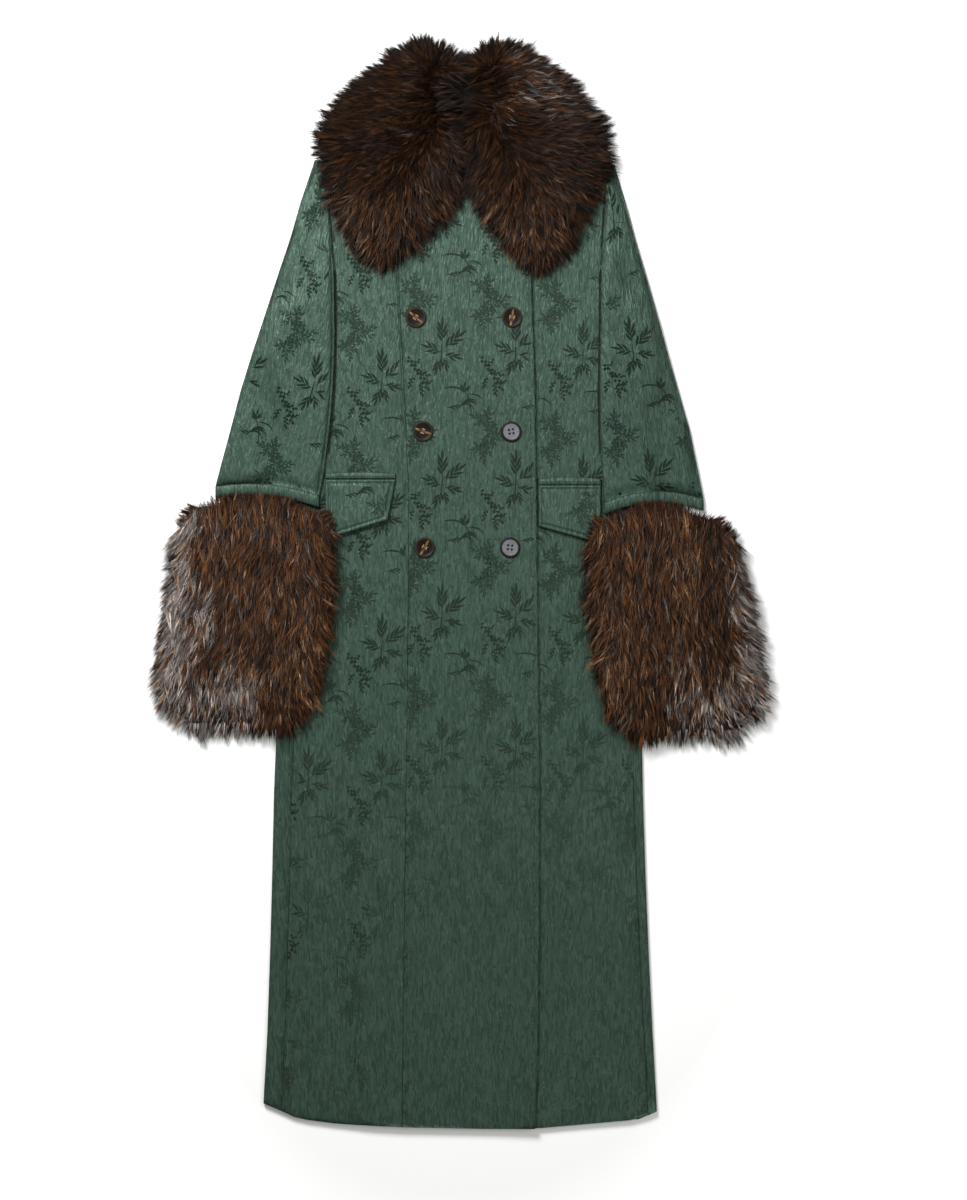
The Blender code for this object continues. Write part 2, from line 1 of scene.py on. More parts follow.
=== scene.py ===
"""Looks of the long double-breasted coat: satin jacquard, fur, horn buttons, sewing, light and camera.

Sizes are in millimetres until a mesh is made, which is in metres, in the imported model's frame: +X to the
right as seen from above, +Y to the collar, +Z up from the floor. The wearer's right side is at -X.
"""
import math
from collections import namedtuple

import bmesh
import bpy
import numpy as np
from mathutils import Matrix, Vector
from mathutils.bvhtree import BVHTree
from mathutils.kdtree import KDTree


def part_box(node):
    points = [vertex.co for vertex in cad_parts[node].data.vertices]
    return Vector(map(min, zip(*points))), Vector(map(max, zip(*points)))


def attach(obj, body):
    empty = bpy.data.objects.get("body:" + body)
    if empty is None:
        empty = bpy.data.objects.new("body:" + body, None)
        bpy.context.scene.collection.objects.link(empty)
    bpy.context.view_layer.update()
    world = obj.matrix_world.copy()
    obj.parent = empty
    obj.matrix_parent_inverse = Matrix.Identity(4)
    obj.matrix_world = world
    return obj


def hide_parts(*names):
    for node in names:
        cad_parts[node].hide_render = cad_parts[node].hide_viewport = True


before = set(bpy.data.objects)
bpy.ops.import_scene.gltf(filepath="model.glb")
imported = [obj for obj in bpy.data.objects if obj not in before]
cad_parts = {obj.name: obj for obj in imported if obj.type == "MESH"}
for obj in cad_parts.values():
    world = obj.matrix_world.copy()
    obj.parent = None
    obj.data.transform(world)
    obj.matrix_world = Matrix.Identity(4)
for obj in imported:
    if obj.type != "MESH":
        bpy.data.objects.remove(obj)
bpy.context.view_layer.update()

MM = 0.001
SIDES = ("right", "left")
SIGN = {"right": -1.0, "left": 1.0}

# Cloth
WELD = 0.000002  # metres
CELL_ACROSS, CELL_ALONG = 2.0, 7.0  # fine enough for the crinkle, which runs along the cloth
SIDE_ACROSS, SIDE_ALONG = 4.0, 14.0  # on the side panels
PLAIN_CELL = 18.0  # on cloth that other pieces hide
FLAP_CELL, BAND_ALONG, STAND_ALONG = 1.3, 3.0, 4.0
CELL_EXCESS = 1.4  # edges longer than their cell by this factor are cut
JOIN_BEND, JOIN_SHAPE = math.radians(25), math.radians(60)  # limits for joining triangles in pairs
RIM_ROUNDING, RIM_STEPS = 0.9, 2
RIM_ANGLE = math.radians(50)
# run of a sleeve's middle line, down from the shoulder
SleeveGrain = namedtuple("SleeveGrain", "across along")
SLEEVE_GRAIN = {"right": SleeveGrain(-68.0, -383.0), "left": SleeveGrain(56.0, -387.0)}
LEAN = {side: math.atan2(run.across, run.along) % math.pi for side, run in SLEEVE_GRAIN.items()}
LEAN["left"] -= math.pi
LEAN["body"] = 0.0

SeamPoint = namedtuple("SeamPoint", "y x")
PRINCESS = (SeamPoint(-677, -72), SeamPoint(-455, -70), SeamPoint(-142, -66), SeamPoint(170, -66),
            SeamPoint(232, -69), SeamPoint(397, -77), SeamPoint(530, -77))
FRONT_EDGE = (SeamPoint(-677, 94), SeamPoint(-617, 96), SeamPoint(-430, 99), SeamPoint(-205, 99),
              SeamPoint(45, 96), SeamPoint(232, 94), SeamPoint(395, 89), SeamPoint(530, 88))
SEAM_WIDTH, SEAM_FADE = 2.2, 18.0
# the princess seam is drawn in more from the start level up
PRINCESS_DEPTH, DRAWN_DEPTH, DRAWN_START, DRAWN_SPAN = 0.6, 1.3, 190.0, 50.0
EDGE_LIFT, EDGE_SOFTNESS, EDGE_SLACK = 2.2, 16.0, 0.5  # the lapped front stands off a little at its edge
DART_RIGHT = (SeamPoint(146, -106), SeamPoint(311, -110.5))
DART_LEFT = (SeamPoint(155, 128), SeamPoint(252, 129))

FLAP_LIFT, FLAP_FALL, FLAP_LENGTH = 1.6, 3.2, 60.0  # a flap stands off more towards its lower edge
SHOULDER_INNER, SHOULDER_WIDTH, SHOULDER_DROP = 166.0, 16.0, 15.0
SHOULDER_START, SHOULDER_SPAN = 470.0, 60.0

# Soft bumps: size across and along, and height
Bumps = namedtuple("Bumps", "across along height seed")
WAVER, FINE, BROAD = Bumps(15.0, 17.0, 0.9, 3), Bumps(4.4, 19.0, 0.08, 5), Bumps(9.5, 40.0, 0.05, 7)
BODY_SWELL = (Bumps(75.0, 150.0, 0.55, 13), Bumps(33.0, 90.0, 0.3, 17))
SLEEVE_SWELL = Bumps(55.0, 80.0, 0.6, 19)
PUCKERS, PUCKER_WIDTH = Bumps(7.5, 16.0, 1.0, 11), 9.0
SMALL_SHARE = 0.5  # of the crinkle, on small and hidden pieces
CREASE_FADE = 0.3

# Soft troughs (below zero) and ridges of the laid cloth, each along a line
Crease = namedtuple("Crease", "x0 y0 x1 y1 width depth")
CREASES = (
    Crease(-214, -120, -222, -600, 14, -1.2), Crease(-196, -210, -190, -560, 26, 0.9),
    Crease(-150, 20, -128, -260, 22, -0.9), Crease(-120, -330, -132, -640, 30, 0.8),
    Crease(-30, -60, -18, -420, 34, 0.7), Crease(20, -240, 34, -640, 30, -0.7),
    Crease(70, -120, 66, -460, 20, 0.6), Crease(118, -60, 122, -640, 13, 1.1),
    Crease(140, -180, 150, -600, 24, -0.8), Crease(196, -260, 204, -640, 18, 0.9),
    Crease(176, 70, 150, -120, 26, -0.7), Crease(-20, 300, 10, 120, 40, 0.6),
    Crease(-170, 330, -130, 290, 16, -0.8), Crease(196, 330, 150, 296, 16, -0.8),
    Crease(-205, 430, -240, 250, 14, 0.9), Crease(-184, 400, -196, 250, 10, -0.8),
    Crease(-262, 240, -190, 205, 12, -0.5), Crease(-276, 200, -214, 176, 12, 0.5),
    Crease(214, 430, 244, 250, 14, 0.9), Crease(194, 400, 206, 260, 10, -0.8),
    Crease(268, 232, 206, 196, 12, -0.5), Crease(280, 190, 222, 160, 12, 0.5),
)


def smooth_step(t):
    t = np.clip(t, 0.0, 1.0)
    return t * t * (3.0 - 2.0 * t)


def unit(vectors):
    """Vectors of length one, along the last axis."""
    return vectors / np.maximum(np.linalg.norm(vectors, axis=-1, keepdims=True), 1e-9)


def seam_x(points, y):
    return np.interp(y, [point.y for point in points], [point.x for point in points])


STIR_I, STIR_J, STIR_SEED, STIR_AGAIN = 374761393, 668265263, 974634777, 1274126177
WORD, HALF_WORD = 0xFFFFFFFF, 0xFFFF


def lattice(i, j, seed):
    """Repeatable values from -1 to 1 for whole-number places."""
    stirred = (i * STIR_I + j * STIR_J + seed * STIR_SEED) & WORD
    stirred = ((stirred ^ (stirred >> 13)) * STIR_AGAIN) & WORD
    return ((stirred ^ (stirred >> 16)) & HALF_WORD) / (HALF_WORD / 2) - 1.0


def soft_noise(x, y, seed):
    """Smooth noise from -1 to 1 with bumps about one unit across."""
    i, j = np.floor(x).astype(np.int64), np.floor(y).astype(np.int64)
    s, t = smooth_step(x - i), smooth_step(y - j)
    low = lattice(i, j, seed) * (1 - s) + lattice(i + 1, j, seed) * s
    high = lattice(i, j + 1, seed) * (1 - s) + lattice(i + 1, j + 1, seed) * s
    return low * (1 - t) + high * t


def along_grain(x, y, lean):
    """Places across and along the cloth's grain, which leans from the coat's length."""
    return x * math.cos(lean) - y * math.sin(lean), x * math.sin(lean) + y * math.cos(lean)


def off_grain(across, along, lean):
    return across * math.cos(lean) + along * math.sin(lean), along * math.cos(lean) - across * math.sin(lean)


# Relief of the cloth

def swell(bumps, x, y):
    return bumps.height * soft_noise(x / bumps.across, y / bumps.along, bumps.seed)


def crinkle(x, y, lean):
    """Narrow wavy ridges along the grain."""
    across, along = along_grain(x, y, lean)
    waver = swell(WAVER, across, along)
    return sum(ridges.height * soft_noise(across / ridges.across + waver, along / ridges.along, ridges.seed)
               for ridges in (FINE, BROAD))


def creases(x, y):
    """Sum of the soft troughs and ridges."""
    total = np.zeros_like(x)
    for crease in CREASES:
        run = np.array([crease.x1 - crease.x0, crease.y1 - crease.y0])
        length = np.hypot(*run)
        share = ((x - crease.x0) * run[0] + (y - crease.y0) * run[1]) / length ** 2
        aside = ((x - crease.x0) * run[1] - (y - crease.y0) * run[0]) / length
        fade = smooth_step(share / CREASE_FADE) * smooth_step((1 - share) / CREASE_FADE)
        total += crease.depth * fade * np.exp(-(aside / crease.width) ** 2)
    return total


def seam_dip(x, y, points, depth, pucker):
    """Cloth drawn in along a seam, with small puckers beside it."""
    aside = x - seam_x(points, y)
    within = smooth_step((y - points[0].y) / SEAM_FADE) * smooth_step((points[-1].y - y) / SEAM_FADE)
    dip = -depth * np.exp(-(aside / SEAM_WIDTH) ** 2)
    puckers = pucker * swell(PUCKERS, y, aside) * np.exp(-(aside / PUCKER_WIDTH) ** 2)
    return (dip + puckers) * within


def body_relief(x, y):
    swelling = sum(swell(bumps, x, y) for bumps in BODY_SWELL)
    drawn = PRINCESS_DEPTH + DRAWN_DEPTH * smooth_step((y - DRAWN_START) / DRAWN_SPAN)
    sewn = seam_dip(x, y, PRINCESS, depth=drawn, pucker=0.32)
    darts = seam_dip(x, y, DART_RIGHT, depth=1.0, pucker=0.2)
    darts += seam_dip(x, y, DART_LEFT, depth=0.8, pucker=0.15)
    inside = seam_x(FRONT_EDGE, y) - x
    lift = EDGE_LIFT * np.exp(-np.maximum(inside, 0.0) / EDGE_SOFTNESS)
    edge = np.where(inside > -EDGE_SLACK, lift, 0.0)
    stitched = tuple(SeamPoint(point.y, point.x - EDGE_STITCH_INSET) for point in FRONT_EDGE)
    edge += seam_dip(x, y, stitched, depth=0.4, pucker=0.25)
    return crinkle(x, y, 0.0) + swelling + creases(x, y) + sewn + darts + edge


def sleeve_relief(side):
    def relief(x, y):
        return crinkle(x, y, LEAN[side]) + swell(SLEEVE_SWELL, x, y) + creases(x, y)
    return relief


def small_relief(x, y):
    return SMALL_SHARE * crinkle(x, y, 0.0)


def flap_relief(x, y):
    return FLAP_LIFT + FLAP_FALL * smooth_step((y.max() - y) / FLAP_LENGTH) + small_relief(x, y)


def slope_shoulder(side):
    """Lets a sleeve's head slope down from the collar to its outer edge."""
    def settle(points):
        outward = np.clip((SIGN[side] * points[:, 0] - SHOULDER_INNER) / SHOULDER_WIDTH, 0.0, 1.0)
        upper = smooth_step((points[:, 1] - SHOULDER_START) / SHOULDER_SPAN)
        points[:, 1] -= SHOULDER_DROP * outward * upper
    return settle


# Meshes

def edge_rings(work):
    """Groups the edges that lie opposite each other across four-sided faces."""
    work.edges.index_update()
    parent = list(range(len(work.edges)))

    def leader(k):
        while parent[k] != k:
            parent[k] = parent[parent[k]]
            k = parent[k]
        return k

    for face in work.faces:
        if len(face.edges) == 4:
            first, second, third, fourth = (edge.index for edge in face.edges)
            parent[leader(first)] = leader(third)
            parent[leader(second)] = leader(fourth)
    rings = {}
    for edge in work.edges:
        rings.setdefault(leader(edge.index), []).append(edge)
    return rings.values()


def is_long(ring, across, along):
    run = np.abs([edge.verts[1].co - edge.verts[0].co for edge in ring]).mean(axis=0) / MM
    limit = across if run[0] > run[1] else along
    return np.linalg.norm(run) > CELL_EXCESS * limit


def refined(node, across, along):
    """A finer copy of a cloth solid, with four-sided cells and rounded rims."""
    work = bmesh.new()
    work.from_mesh(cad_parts[node].data)
    bmesh.ops.remove_doubles(work, verts=work.verts[:], dist=WELD)
    bmesh.ops.join_triangles(work, faces=work.faces[:], angle_face_threshold=JOIN_BEND,
                             angle_shape_threshold=JOIN_SHAPE)
    while True:
        long_edges = [edge for ring in edge_rings(work) if is_long(ring, across, along) for edge in ring]
        if not long_edges:
            break
        bmesh.ops.subdivide_edges(work, edges=long_edges, cuts=1, use_grid_fill=True)
    rims = [edge for edge in work.edges if edge.is_manifold and edge.calc_face_angle() > RIM_ANGLE]
    outline = np.array([vertex.co for edge in rims for vertex in edge.verts]) / MM
    bmesh.ops.bevel(work, geom=rims, offset=RIM_ROUNDING * MM, segments=RIM_STEPS, profile=0.5,
                    affect="EDGES", clamp_overlap=True)
    work.normal_update()
    return work, outline


def finished(work, name):
    """Puts the work into a new mesh."""
    mesh = bpy.data.meshes.new(name)
    work.to_mesh(mesh)
    work.free()
    return mesh


def nearest(targets, places):
    """Number and distance of the target nearest to each place."""
    tree = KDTree(len(targets))
    for k, target in enumerate(targets):
        tree.insert(target, k)
    tree.balance()
    found = [tree.find(place) for place in places]
    return np.array([k for _, k, _ in found]), np.array([distance for _, _, distance in found])


def from_outline(points, outline):
    """Distance of each point from the nearest rim, as seen from above."""
    seen = np.array([1.0, 1.0, 0.0])
    _, distances = nearest(outline * seen, points * seen)
    return distances


def add_piece(name, mesh, material, place=(0.0, 0.0, 0.0), turn=0.0):
    mesh.shade_smooth()
    mesh.materials.append(material)
    piece = bpy.data.objects.new(name, mesh)
    piece.location = place
    piece.rotation_euler.z = turn
    bpy.context.scene.collection.objects.link(piece)
    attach(piece, "root")
    return piece


def half_surface(node):
    """Area of one face of a cloth solid, in square metres."""
    return sum(polygon.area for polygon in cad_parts[node].data.polygons) / 2


def declare_sheet(node):
    """Works out the cut of a piece, the box of its solid and the area of one face, and does not keep it."""
    low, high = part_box(node)
    width, length = high.x - low.x, high.y - low.y
    area = half_surface(node)
    if area > width * length:
        longest = max(width, length)
        width, length = longest, area / longest


# how far cloth swells from its rim, over what distance, and how deep its row of edge stitching lies
Puff = namedtuple("Puff", "height reach stitched")
FLAT = Puff(0.0, 1.0, 0.0)
FRONT_PUFF, SLEEVE_PUFF = Puff(0.7, 4.0, 0.0), Puff(5.0, 2.2, 0.0)
FLAP_PUFF, WELT_PUFF, BAND_PUFF = Puff(1.5, 1.0, 1.7), Puff(1.8, 3.0, 0.0), Puff(1.2, 3.0, 0.0)
STITCH_INSET, STITCH_WIDTH = 5.0, 1.2


def lay_cloth(node, relief, material, across=CELL_ACROSS, along=CELL_ALONG, puff=FLAT,
              settle=None):
    """A cloth piece on its solid's form, with the relief on the faces that look up."""
    work, outline = refined(node, across, along)
    points = np.array([vertex.co for vertex in work.verts]) / MM
    upward = np.array([max(vertex.normal.z, 0.0) for vertex in work.verts])
    points[:, 2] += relief(points[:, 0], points[:, 1]) * upward
    if puff.height > 0:
        inside = from_outline(points, outline)
        points[:, 2] += puff.height * (1 - np.exp(-inside / puff.reach)) * upward
        points[:, 2] -= puff.stitched * np.exp(-((inside - STITCH_INSET) / STITCH_WIDTH) ** 2) * upward
    if settle is not None:
        settle(points)
    for vertex, point in zip(work.verts, points * MM):
        vertex.co = point
    piece = add_piece(node + "_cloth", finished(work, node + "_cloth"), material)
    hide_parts(node)
    declare_sheet(node)
    return piece


def search_tree(mesh):
    """Search tree of a mesh's faces."""
    return BVHTree.FromPolygons([v.co for v in mesh.vertices], [p.vertices for p in mesh.polygons])


# Sprigs of the jacquard: every leaf, petal and blade is one stroke

Stroke = namedtuple("Stroke", "x y angle length width bend")
STROKE_STEPS = 5
LEAF_SHAPE = (0.12, 0.85, 1.0, 0.66, 0.04)  # share of the width along a stroke
REPEAT_ACROSS, REPEAT_ALONG = 92.0, 166.0
SPRIG_RAISE = 0.22
STEM_WIDTH = 0.9
LEAF_OPEN, LEAF_CLOSE, LEAF_CURL = 1.15, 0.35, 0.3  # leaves stand out less towards a stem's end
LEAF_LENGTH, LEAF_GROWTH = 0.8, 0.25
SPRIG_FACING = 0.8  # least upward normal of the cloth under a stroke
RAY_HEIGHT = 0.05  # metres over a panel, from where strokes are dropped on it


def spray(x, y, angle, length, leaves, leaf, width, spread, bend=0.0):
    """A thin stem with leaves in turn on both sides, and one at its end."""
    strokes = [Stroke(x, y, angle, length, STEM_WIDTH, bend)]
    for k in range(leaves):
        share = (k + 1) / leaves
        way = math.radians(angle + bend * share / 2)
        aside = 0.0 if k == leaves - 1 else (-1) ** k * spread * (LEAF_OPEN - LEAF_CLOSE * share)
        grown = leaf * (LEAF_LENGTH + LEAF_GROWTH * share)
        strokes.append(Stroke(x + length * share * math.cos(way), y + length * share * math.sin(way),
                              angle + bend * share + aside, grown, width, -LEAF_CURL * aside))
    return strokes


def bamboo(x, y):
    strokes = [Stroke(x - 2, y - 26, 84, 32, 1.4, 4)]
    strokes += spray(x, y + 2, 90, 19, 6, 16, 3.2, 32)
    strokes += spray(x + 2, y - 3, 38, 20, 6, 16, 3.2, 34)
    strokes += spray(x - 1, y - 8, 160, 14, 5, 14, 2.9, 38)
    strokes += spray(x + 2, y - 11, -14, 12, 4, 13, 2.9, 30)
    strokes += spray(x - 1, y - 15, 248, 13, 5, 12, 2.9, 36)
    strokes += spray(x + 1, y - 15, 286, 9, 4, 10, 2.6, 36)
    return strokes


def plum_branch(x, y):
    strokes = spray(x - 16, y + 24, -48, 48, 15, 5.2, 3.4, 62, -14)
    strokes += spray(x - 5, y + 5, -14, 17, 7, 4.4, 2.8, 60)
    strokes += spray(x - 9, y + 10, 42, 12, 5, 3.8, 2.5, 60)
    strokes += spray(x + 2, y - 8, -78, 15, 7, 4.4, 2.8, 60)
    strokes += spray(x - 6, y - 1, -112, 13, 6, 4.2, 2.6, 60)
    strokes += spray(x + 5, y - 11, 18, 10, 5, 4.0, 2.5, 60)
    return strokes


def orchid(x, y):
    strokes = [Stroke(x + 2, y + 8, 150, 29, 2.3, 52), Stroke(x + 2, y + 9, -58, 36, 1.6, -34),
               Stroke(x + 7, y + 3, 14, 25, 1.9, -78), Stroke(x + 8, y - 4, -4, 16, 1.8, -70)]
    strokes += spray(x + 3, y + 5, 88, 6, 6, 9, 2.3, 62)
    for k in range(3):
        strokes.append(Stroke(x - 6 + 3 * k, y - 16 + 3 * k, 72, 30 - 3 * k, 2.3, -150 + 12 * k))
        strokes.append(Stroke(x - 8 + 3 * k, y - 17 + 2 * k, 128, 13 - 2 * k, 2.0, 70))
    return strokes


def foliage(x, y):
    strokes = [Stroke(x - 3, y - 26, 70, 30, 1.2, 30), Stroke(x + 4, y - 2, 120, 24, 1.2, -40)]
    for dx, dy, turn, size in ((-4, 17, 20, 0.9), (7, -3, 75, 1.0), (-6, -20, 130, 0.85)):
        for k, angle in enumerate((0, 68, 128, 205, 262, 318)):
            length = (10 + 3 * (k % 3)) * size
            strokes += spray(x + dx, y + dy, turn + angle, length, 4 + k % 3, 8 * size, 2.6,
                             54 - 8 * (k % 2), 24 * (-1) ** k)
    return strokes


# one repeat of the pattern about its bamboo sprig: the part woven boldly and the part woven softly
BOLD_REPEAT = bamboo(0, 0) + plum_branch(-30, -37) + orchid(25, -64)
SOFT_REPEAT = foliage(57, -109)


def stroke_sides(strokes):
    """Points along both sides of each stroke."""
    stroke = Stroke(*np.array(strokes).T[..., None])
    share = np.linspace(0.0, 1.0, STROKE_STEPS)
    angle = np.radians(stroke.angle + stroke.bend * share)
    step = stroke.length / (STROKE_STEPS - 1)
    run = np.stack([np.cos(angle), np.sin(angle)], axis=-1)
    halfway = (run[:, 1:] + run[:, :-1]) / 2
    middle = np.concatenate([np.zeros_like(run[:, :1]), np.cumsum(halfway, axis=1)], axis=1)
    middle = np.stack([stroke.x, stroke.y], axis=-1) + middle * step[:, :, None]
    half = stroke.width / 2 * np.array(LEAF_SHAPE)
    aside = np.stack([-run[..., 1], run[..., 0]], axis=-1) * half[..., None]
    return middle + aside, middle - aside


def panel_strokes(repeat, node, origin, lean):
    """Both sides of every stroke of the repeats that touch a panel."""
    low, high = (np.array(corner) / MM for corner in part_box(node))
    corners = [along_grain(x, y, lean) for x in (low[0], high[0]) for y in (low[1], high[1])]
    first = np.min(corners, axis=0)
    last = np.max(corners, axis=0)
    start = np.array(along_grain(*origin, lean))
    spacing = np.array([REPEAT_ACROSS, REPEAT_ALONG])
    from_cell = np.floor((first - start) / spacing).astype(int) - 1
    to_cell = np.ceil((last - start) / spacing).astype(int) + 1
    edges = stroke_sides(repeat)
    sides = ([], [])
    for column in range(from_cell[0], to_cell[0] + 1):
        for row in range(from_cell[1], to_cell[1] + 1):
            place = start + spacing * np.array([column, row])
            for edge, laid in zip(edges, sides):
                moved = edge + place
                laid.append(np.stack(off_grain(moved[..., 0], moved[..., 1], lean), axis=-1))
    return [np.concatenate(laid) for laid in sides]


def lay_strokes(name, piece, node, sides, material):
    """The strokes that lie wholly on a panel's upper face, as one mesh just above the cloth."""
    surface = search_tree(piece.data)
    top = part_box(node)[1].z + RAY_HEIGHT
    points, faces = [], []
    for left, right in zip(*sides):
        laid = []
        for x, y in np.stack([right, left], axis=1).reshape(-1, 2) * MM:
            place, normal, _, _ = surface.ray_cast(Vector((x, y, top)), Vector((0, 0, -1)))
            if place is None or normal.z < SPRIG_FACING:
                break
            laid.append(place + normal * SPRIG_RAISE * MM)
        if len(laid) < 2 * STROKE_STEPS:
            continue
        first = len(points)
        points += laid
        faces += [(first + 2 * k, first + 2 * k + 2, first + 2 * k + 3, first + 2 * k + 1)
                  for k in range(STROKE_STEPS - 1)]
    if not faces:
        return
    mesh = bpy.data.meshes.new(name)
    mesh.from_pydata(points, [], faces)
    mesh.update()
    add_piece(name, mesh, material)


STITCH_SPACING, STITCH_LENGTH, STITCH_THICKNESS, EDGE_STITCH_INSET = 7.5, 3.0, 0.7, 6.0
STITCH_START, STITCH_END = FRONT_EDGE[0].y + 12, 440
STITCH_WAVER, STITCH_TURNS = 8.0, 2.3
# the buttonhole's slit, a dark stroke that paints the shade in its opening
BUTTONHOLE = Stroke(44.0, 335.0, 0.0, 9.0, 1.5, 0.0)


def front_stitches():
    """Pick stitches along the lapped front's edge, and the buttonhole's slit beside its button, drawn dark
    as painted shade in its opening.
    """
    strokes = [BUTTONHOLE]
    for y in np.arange(STITCH_START, STITCH_END, STITCH_SPACING):
        x = float(seam_x(FRONT_EDGE, y)) - EDGE_STITCH_INSET
        waver = STITCH_WAVER * math.sin(STITCH_TURNS * y)
        strokes.append(Stroke(x, y, 90 + waver, STITCH_LENGTH, STITCH_THICKNESS, 0.0))
    return stroke_sides(strokes)


# painted shadow line beside each sleeve: where it runs up the coat, its step, width and offset from the
# sleeve's edge
SHADOW_LINE_LOW, SHADOW_LINE_HIGH, SHADOW_LINE_STEP = 168.0, 500.0, 8.0
SHADOW_LINE_WIDTH, SHADOW_LINE_ASIDE = 2.8, 1.5
SHADOW_LINE_WINDOW = 1.2  # steps within which a sleeve's edge is looked for
SHADOW_LINE_SMOOTHING = (0.25, 0.5, 0.25)


def painted_sleeve_shadow(side, sleeve):
    """A painted shadow beside a sleeve's inner edge: a line of dark strokes laid on the body's cloth there,
    following the sleeve's edge.
    """
    inward = -SIGN[side]
    points = np.array([vertex.co for vertex in sleeve.data.vertices]) / MM
    steps = np.arange(SHADOW_LINE_LOW, SHADOW_LINE_HIGH, SHADOW_LINE_STEP)
    window = SHADOW_LINE_WINDOW * SHADOW_LINE_STEP
    edge = np.array([max(inward * points[np.abs(points[:, 1] - y) < window, 0]) for y in steps])
    edge = np.convolve(np.pad(edge, 1, mode="edge"), SHADOW_LINE_SMOOTHING, mode="valid")
    edge = inward * (edge + SHADOW_LINE_ASIDE)
    strokes = []
    for k in range(len(steps) - 1):
        turn = math.degrees(math.atan2(SHADOW_LINE_STEP, edge[k + 1] - edge[k]))
        strokes.append(Stroke(edge[k], steps[k] - SHADOW_LINE_STEP / 2, turn, 2 * SHADOW_LINE_STEP, SHADOW_LINE_WIDTH, 0.0))
    return stroke_sides(strokes)


# Fur

FurCoat = namedtuple("FurCoat", "hairs locks length lift gather wisps seed")
COLLAR_FUR = FurCoat(60000, 5600, 32.0, 0.22, 0.55, 0.10, 41)
CUFF_FUR = FurCoat(60000, 7000, 32.0, 0.17, 0.55, 0.14, 43)
RidgePoint = namedtuple("RidgePoint", "x y")
# line on each collar lobe from which the hair falls to both sides
COLLAR_RIDGE = {
    "right": (RidgePoint(-28, 646), RidgePoint(-26, 604), RidgePoint(-22, 566), RidgePoint(-46, 515),
              RidgePoint(-78, 470)),
    "left": (RidgePoint(36, 648), RidgePoint(38, 604), RidgePoint(40, 566), RidgePoint(60, 515),
             RidgePoint(84, 470)),
}
RIDGE_SOFTNESS = 30.0
COLLAR_SAG, SAG_START, SAG_SPAN = 0.75, 630.0, 150.0  # hair hangs more on the lower part of the lobes
# sideways run of a cuff's hair from its middle, and of all of it
CuffLie = namedtuple("CuffLie", "spread drift")
CUFF_LIE = {"right": CuffLie(0.30, -0.14), "left": CuffLie(0.30, 0.10)}
# more sideways run towards a cuff's outer and inner ends
Flare = namedtuple("Flare", "amount start span")
OUTER_FLARE, INNER_FLARE = Flare(0.40, 0.55, 0.45), Flare(0.34, 0.60, 0.40)
# looks down the coat that find a cuff's upper rim: their number, their levels, and their start in metres
RIM_PLACES, RIM_LEVELS, RIM_LOOK = 48, (8.0, 16.0), 1.0
RIM_SLOPE = 0.5  # beyond the band's ends
# hair on a cuff's upper rim runs up the sleeve, and laps over the band's lower edge
CROWN_FACING, CROWN_RISE, CROWN_REACH = 0.4, (0.0, 0.2), 4.5
BAND_WISPS, CROWN_WISPS = 0.05, 0.4
CUFF_ROOM = 1.0  # left for hair right at the rim
EDGE_SHARE, EDGE_FACING = 5.0, 0.5
HAIR_WIDTH, WIDTH_SPREAD = 0.72, (0.6, 1.3)
HAIR_FLOOR = 0.8
HAIR_RISE = 7.0  # most that a hair's middle line stands above its solid
UNDERFUR_DROP, UNDERFUR_INSET = 10.0, 9.0
UNDERFUR_START, UNDERFUR_SPAN = 14.0, 18.0
UNDERSIDE = -0.25  # faces that look down more than this have no hair
FACE_CLEAR, POINT_CLEAR = 0.0004, 0.0005  # metres off the surface, where a look upwards starts
UP = Vector((0, 0, 1))

# Locks and their hairs
LENGTH_LIMITS = (0.6, 1.5)
LOCK_SPREAD, LOCK_DEPTH, LOCK_TURN, REACH_POWER = 0.2, 5.0, 0.22, 2.6
HAIR_SPREAD, HAIR_TURN, HAIR_ROLL = 0.15, 0.10, 0.8
HAIR_DEPTH, DEPTH_START = 2.5, -1.5
SLOW_TURN = Bumps(30.0, 30.0, 0.34, 29)
WEAK_FLOW, WEAK_LIFT = 0.7, 0.5  # hair without a clear way stands up more
STEEP_START, STEEP_SPAN, STEEP_DEPTH = 0.25, 0.4, 0.7
WISP_REACH = 16.0  # a lock of full reach passes the fur's face by this much
WISP_DARK = 5.0  # hairs that pass it by more than this have dark tips
STRAY_REACH, LONE_REACH, REACH_SPREAD = 0.6, 0.35, 1.5
GATHER_SPREAD, GATHER_LIMITS = 0.4, (0.0, 1.5)
BELLY, ROOT_SLOPE, ROOT_DEPTH = 0.03, 0.14, 1.0  # how far a hair's middle and root lie under its tip
FACING_UP = (0.0, 0.0, 0.6)


def outside_faces(node):
    """Corner points of the faces of a fur solid that hair grows on: not the underside, not the inside."""
    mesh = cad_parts[node].data
    tree = search_tree(mesh)
    corners = []
    for polygon in mesh.polygons:
        if polygon.normal.z < UNDERSIDE:
            continue
        if tree.ray_cast(polygon.center + polygon.normal * FACE_CLEAR, UP)[0] is None:
            corners.append([mesh.vertices[k].co.copy() for k in polygon.vertices])
    return np.array(corners) / MM


def scattered(corners, count, rng, edge_share=1.0):
    """Random places on the faces, with the faces' normals; more on steep faces, which make the outline."""
    side_a, side_b = corners[:, 1] - corners[:, 0], corners[:, 2] - corners[:, 0]
    normals = np.cross(side_a, side_b)
    areas = np.linalg.norm(normals, axis=1)
    crowd = areas * np.where(np.abs(normals[:, 2]) < EDGE_FACING * areas, edge_share, 1.0)
    picked = rng.choice(len(corners), count, p=crowd / crowd.sum())
    s, t = rng.random(count), rng.random(count)
    over = s + t > 1
    s, t = np.where(over, 1 - s, s), np.where(over, 1 - t, t)
    places = corners[picked, 0] + side_a[picked] * s[:, None] + side_b[picked] * t[:, None]
    return places, unit(normals[picked])


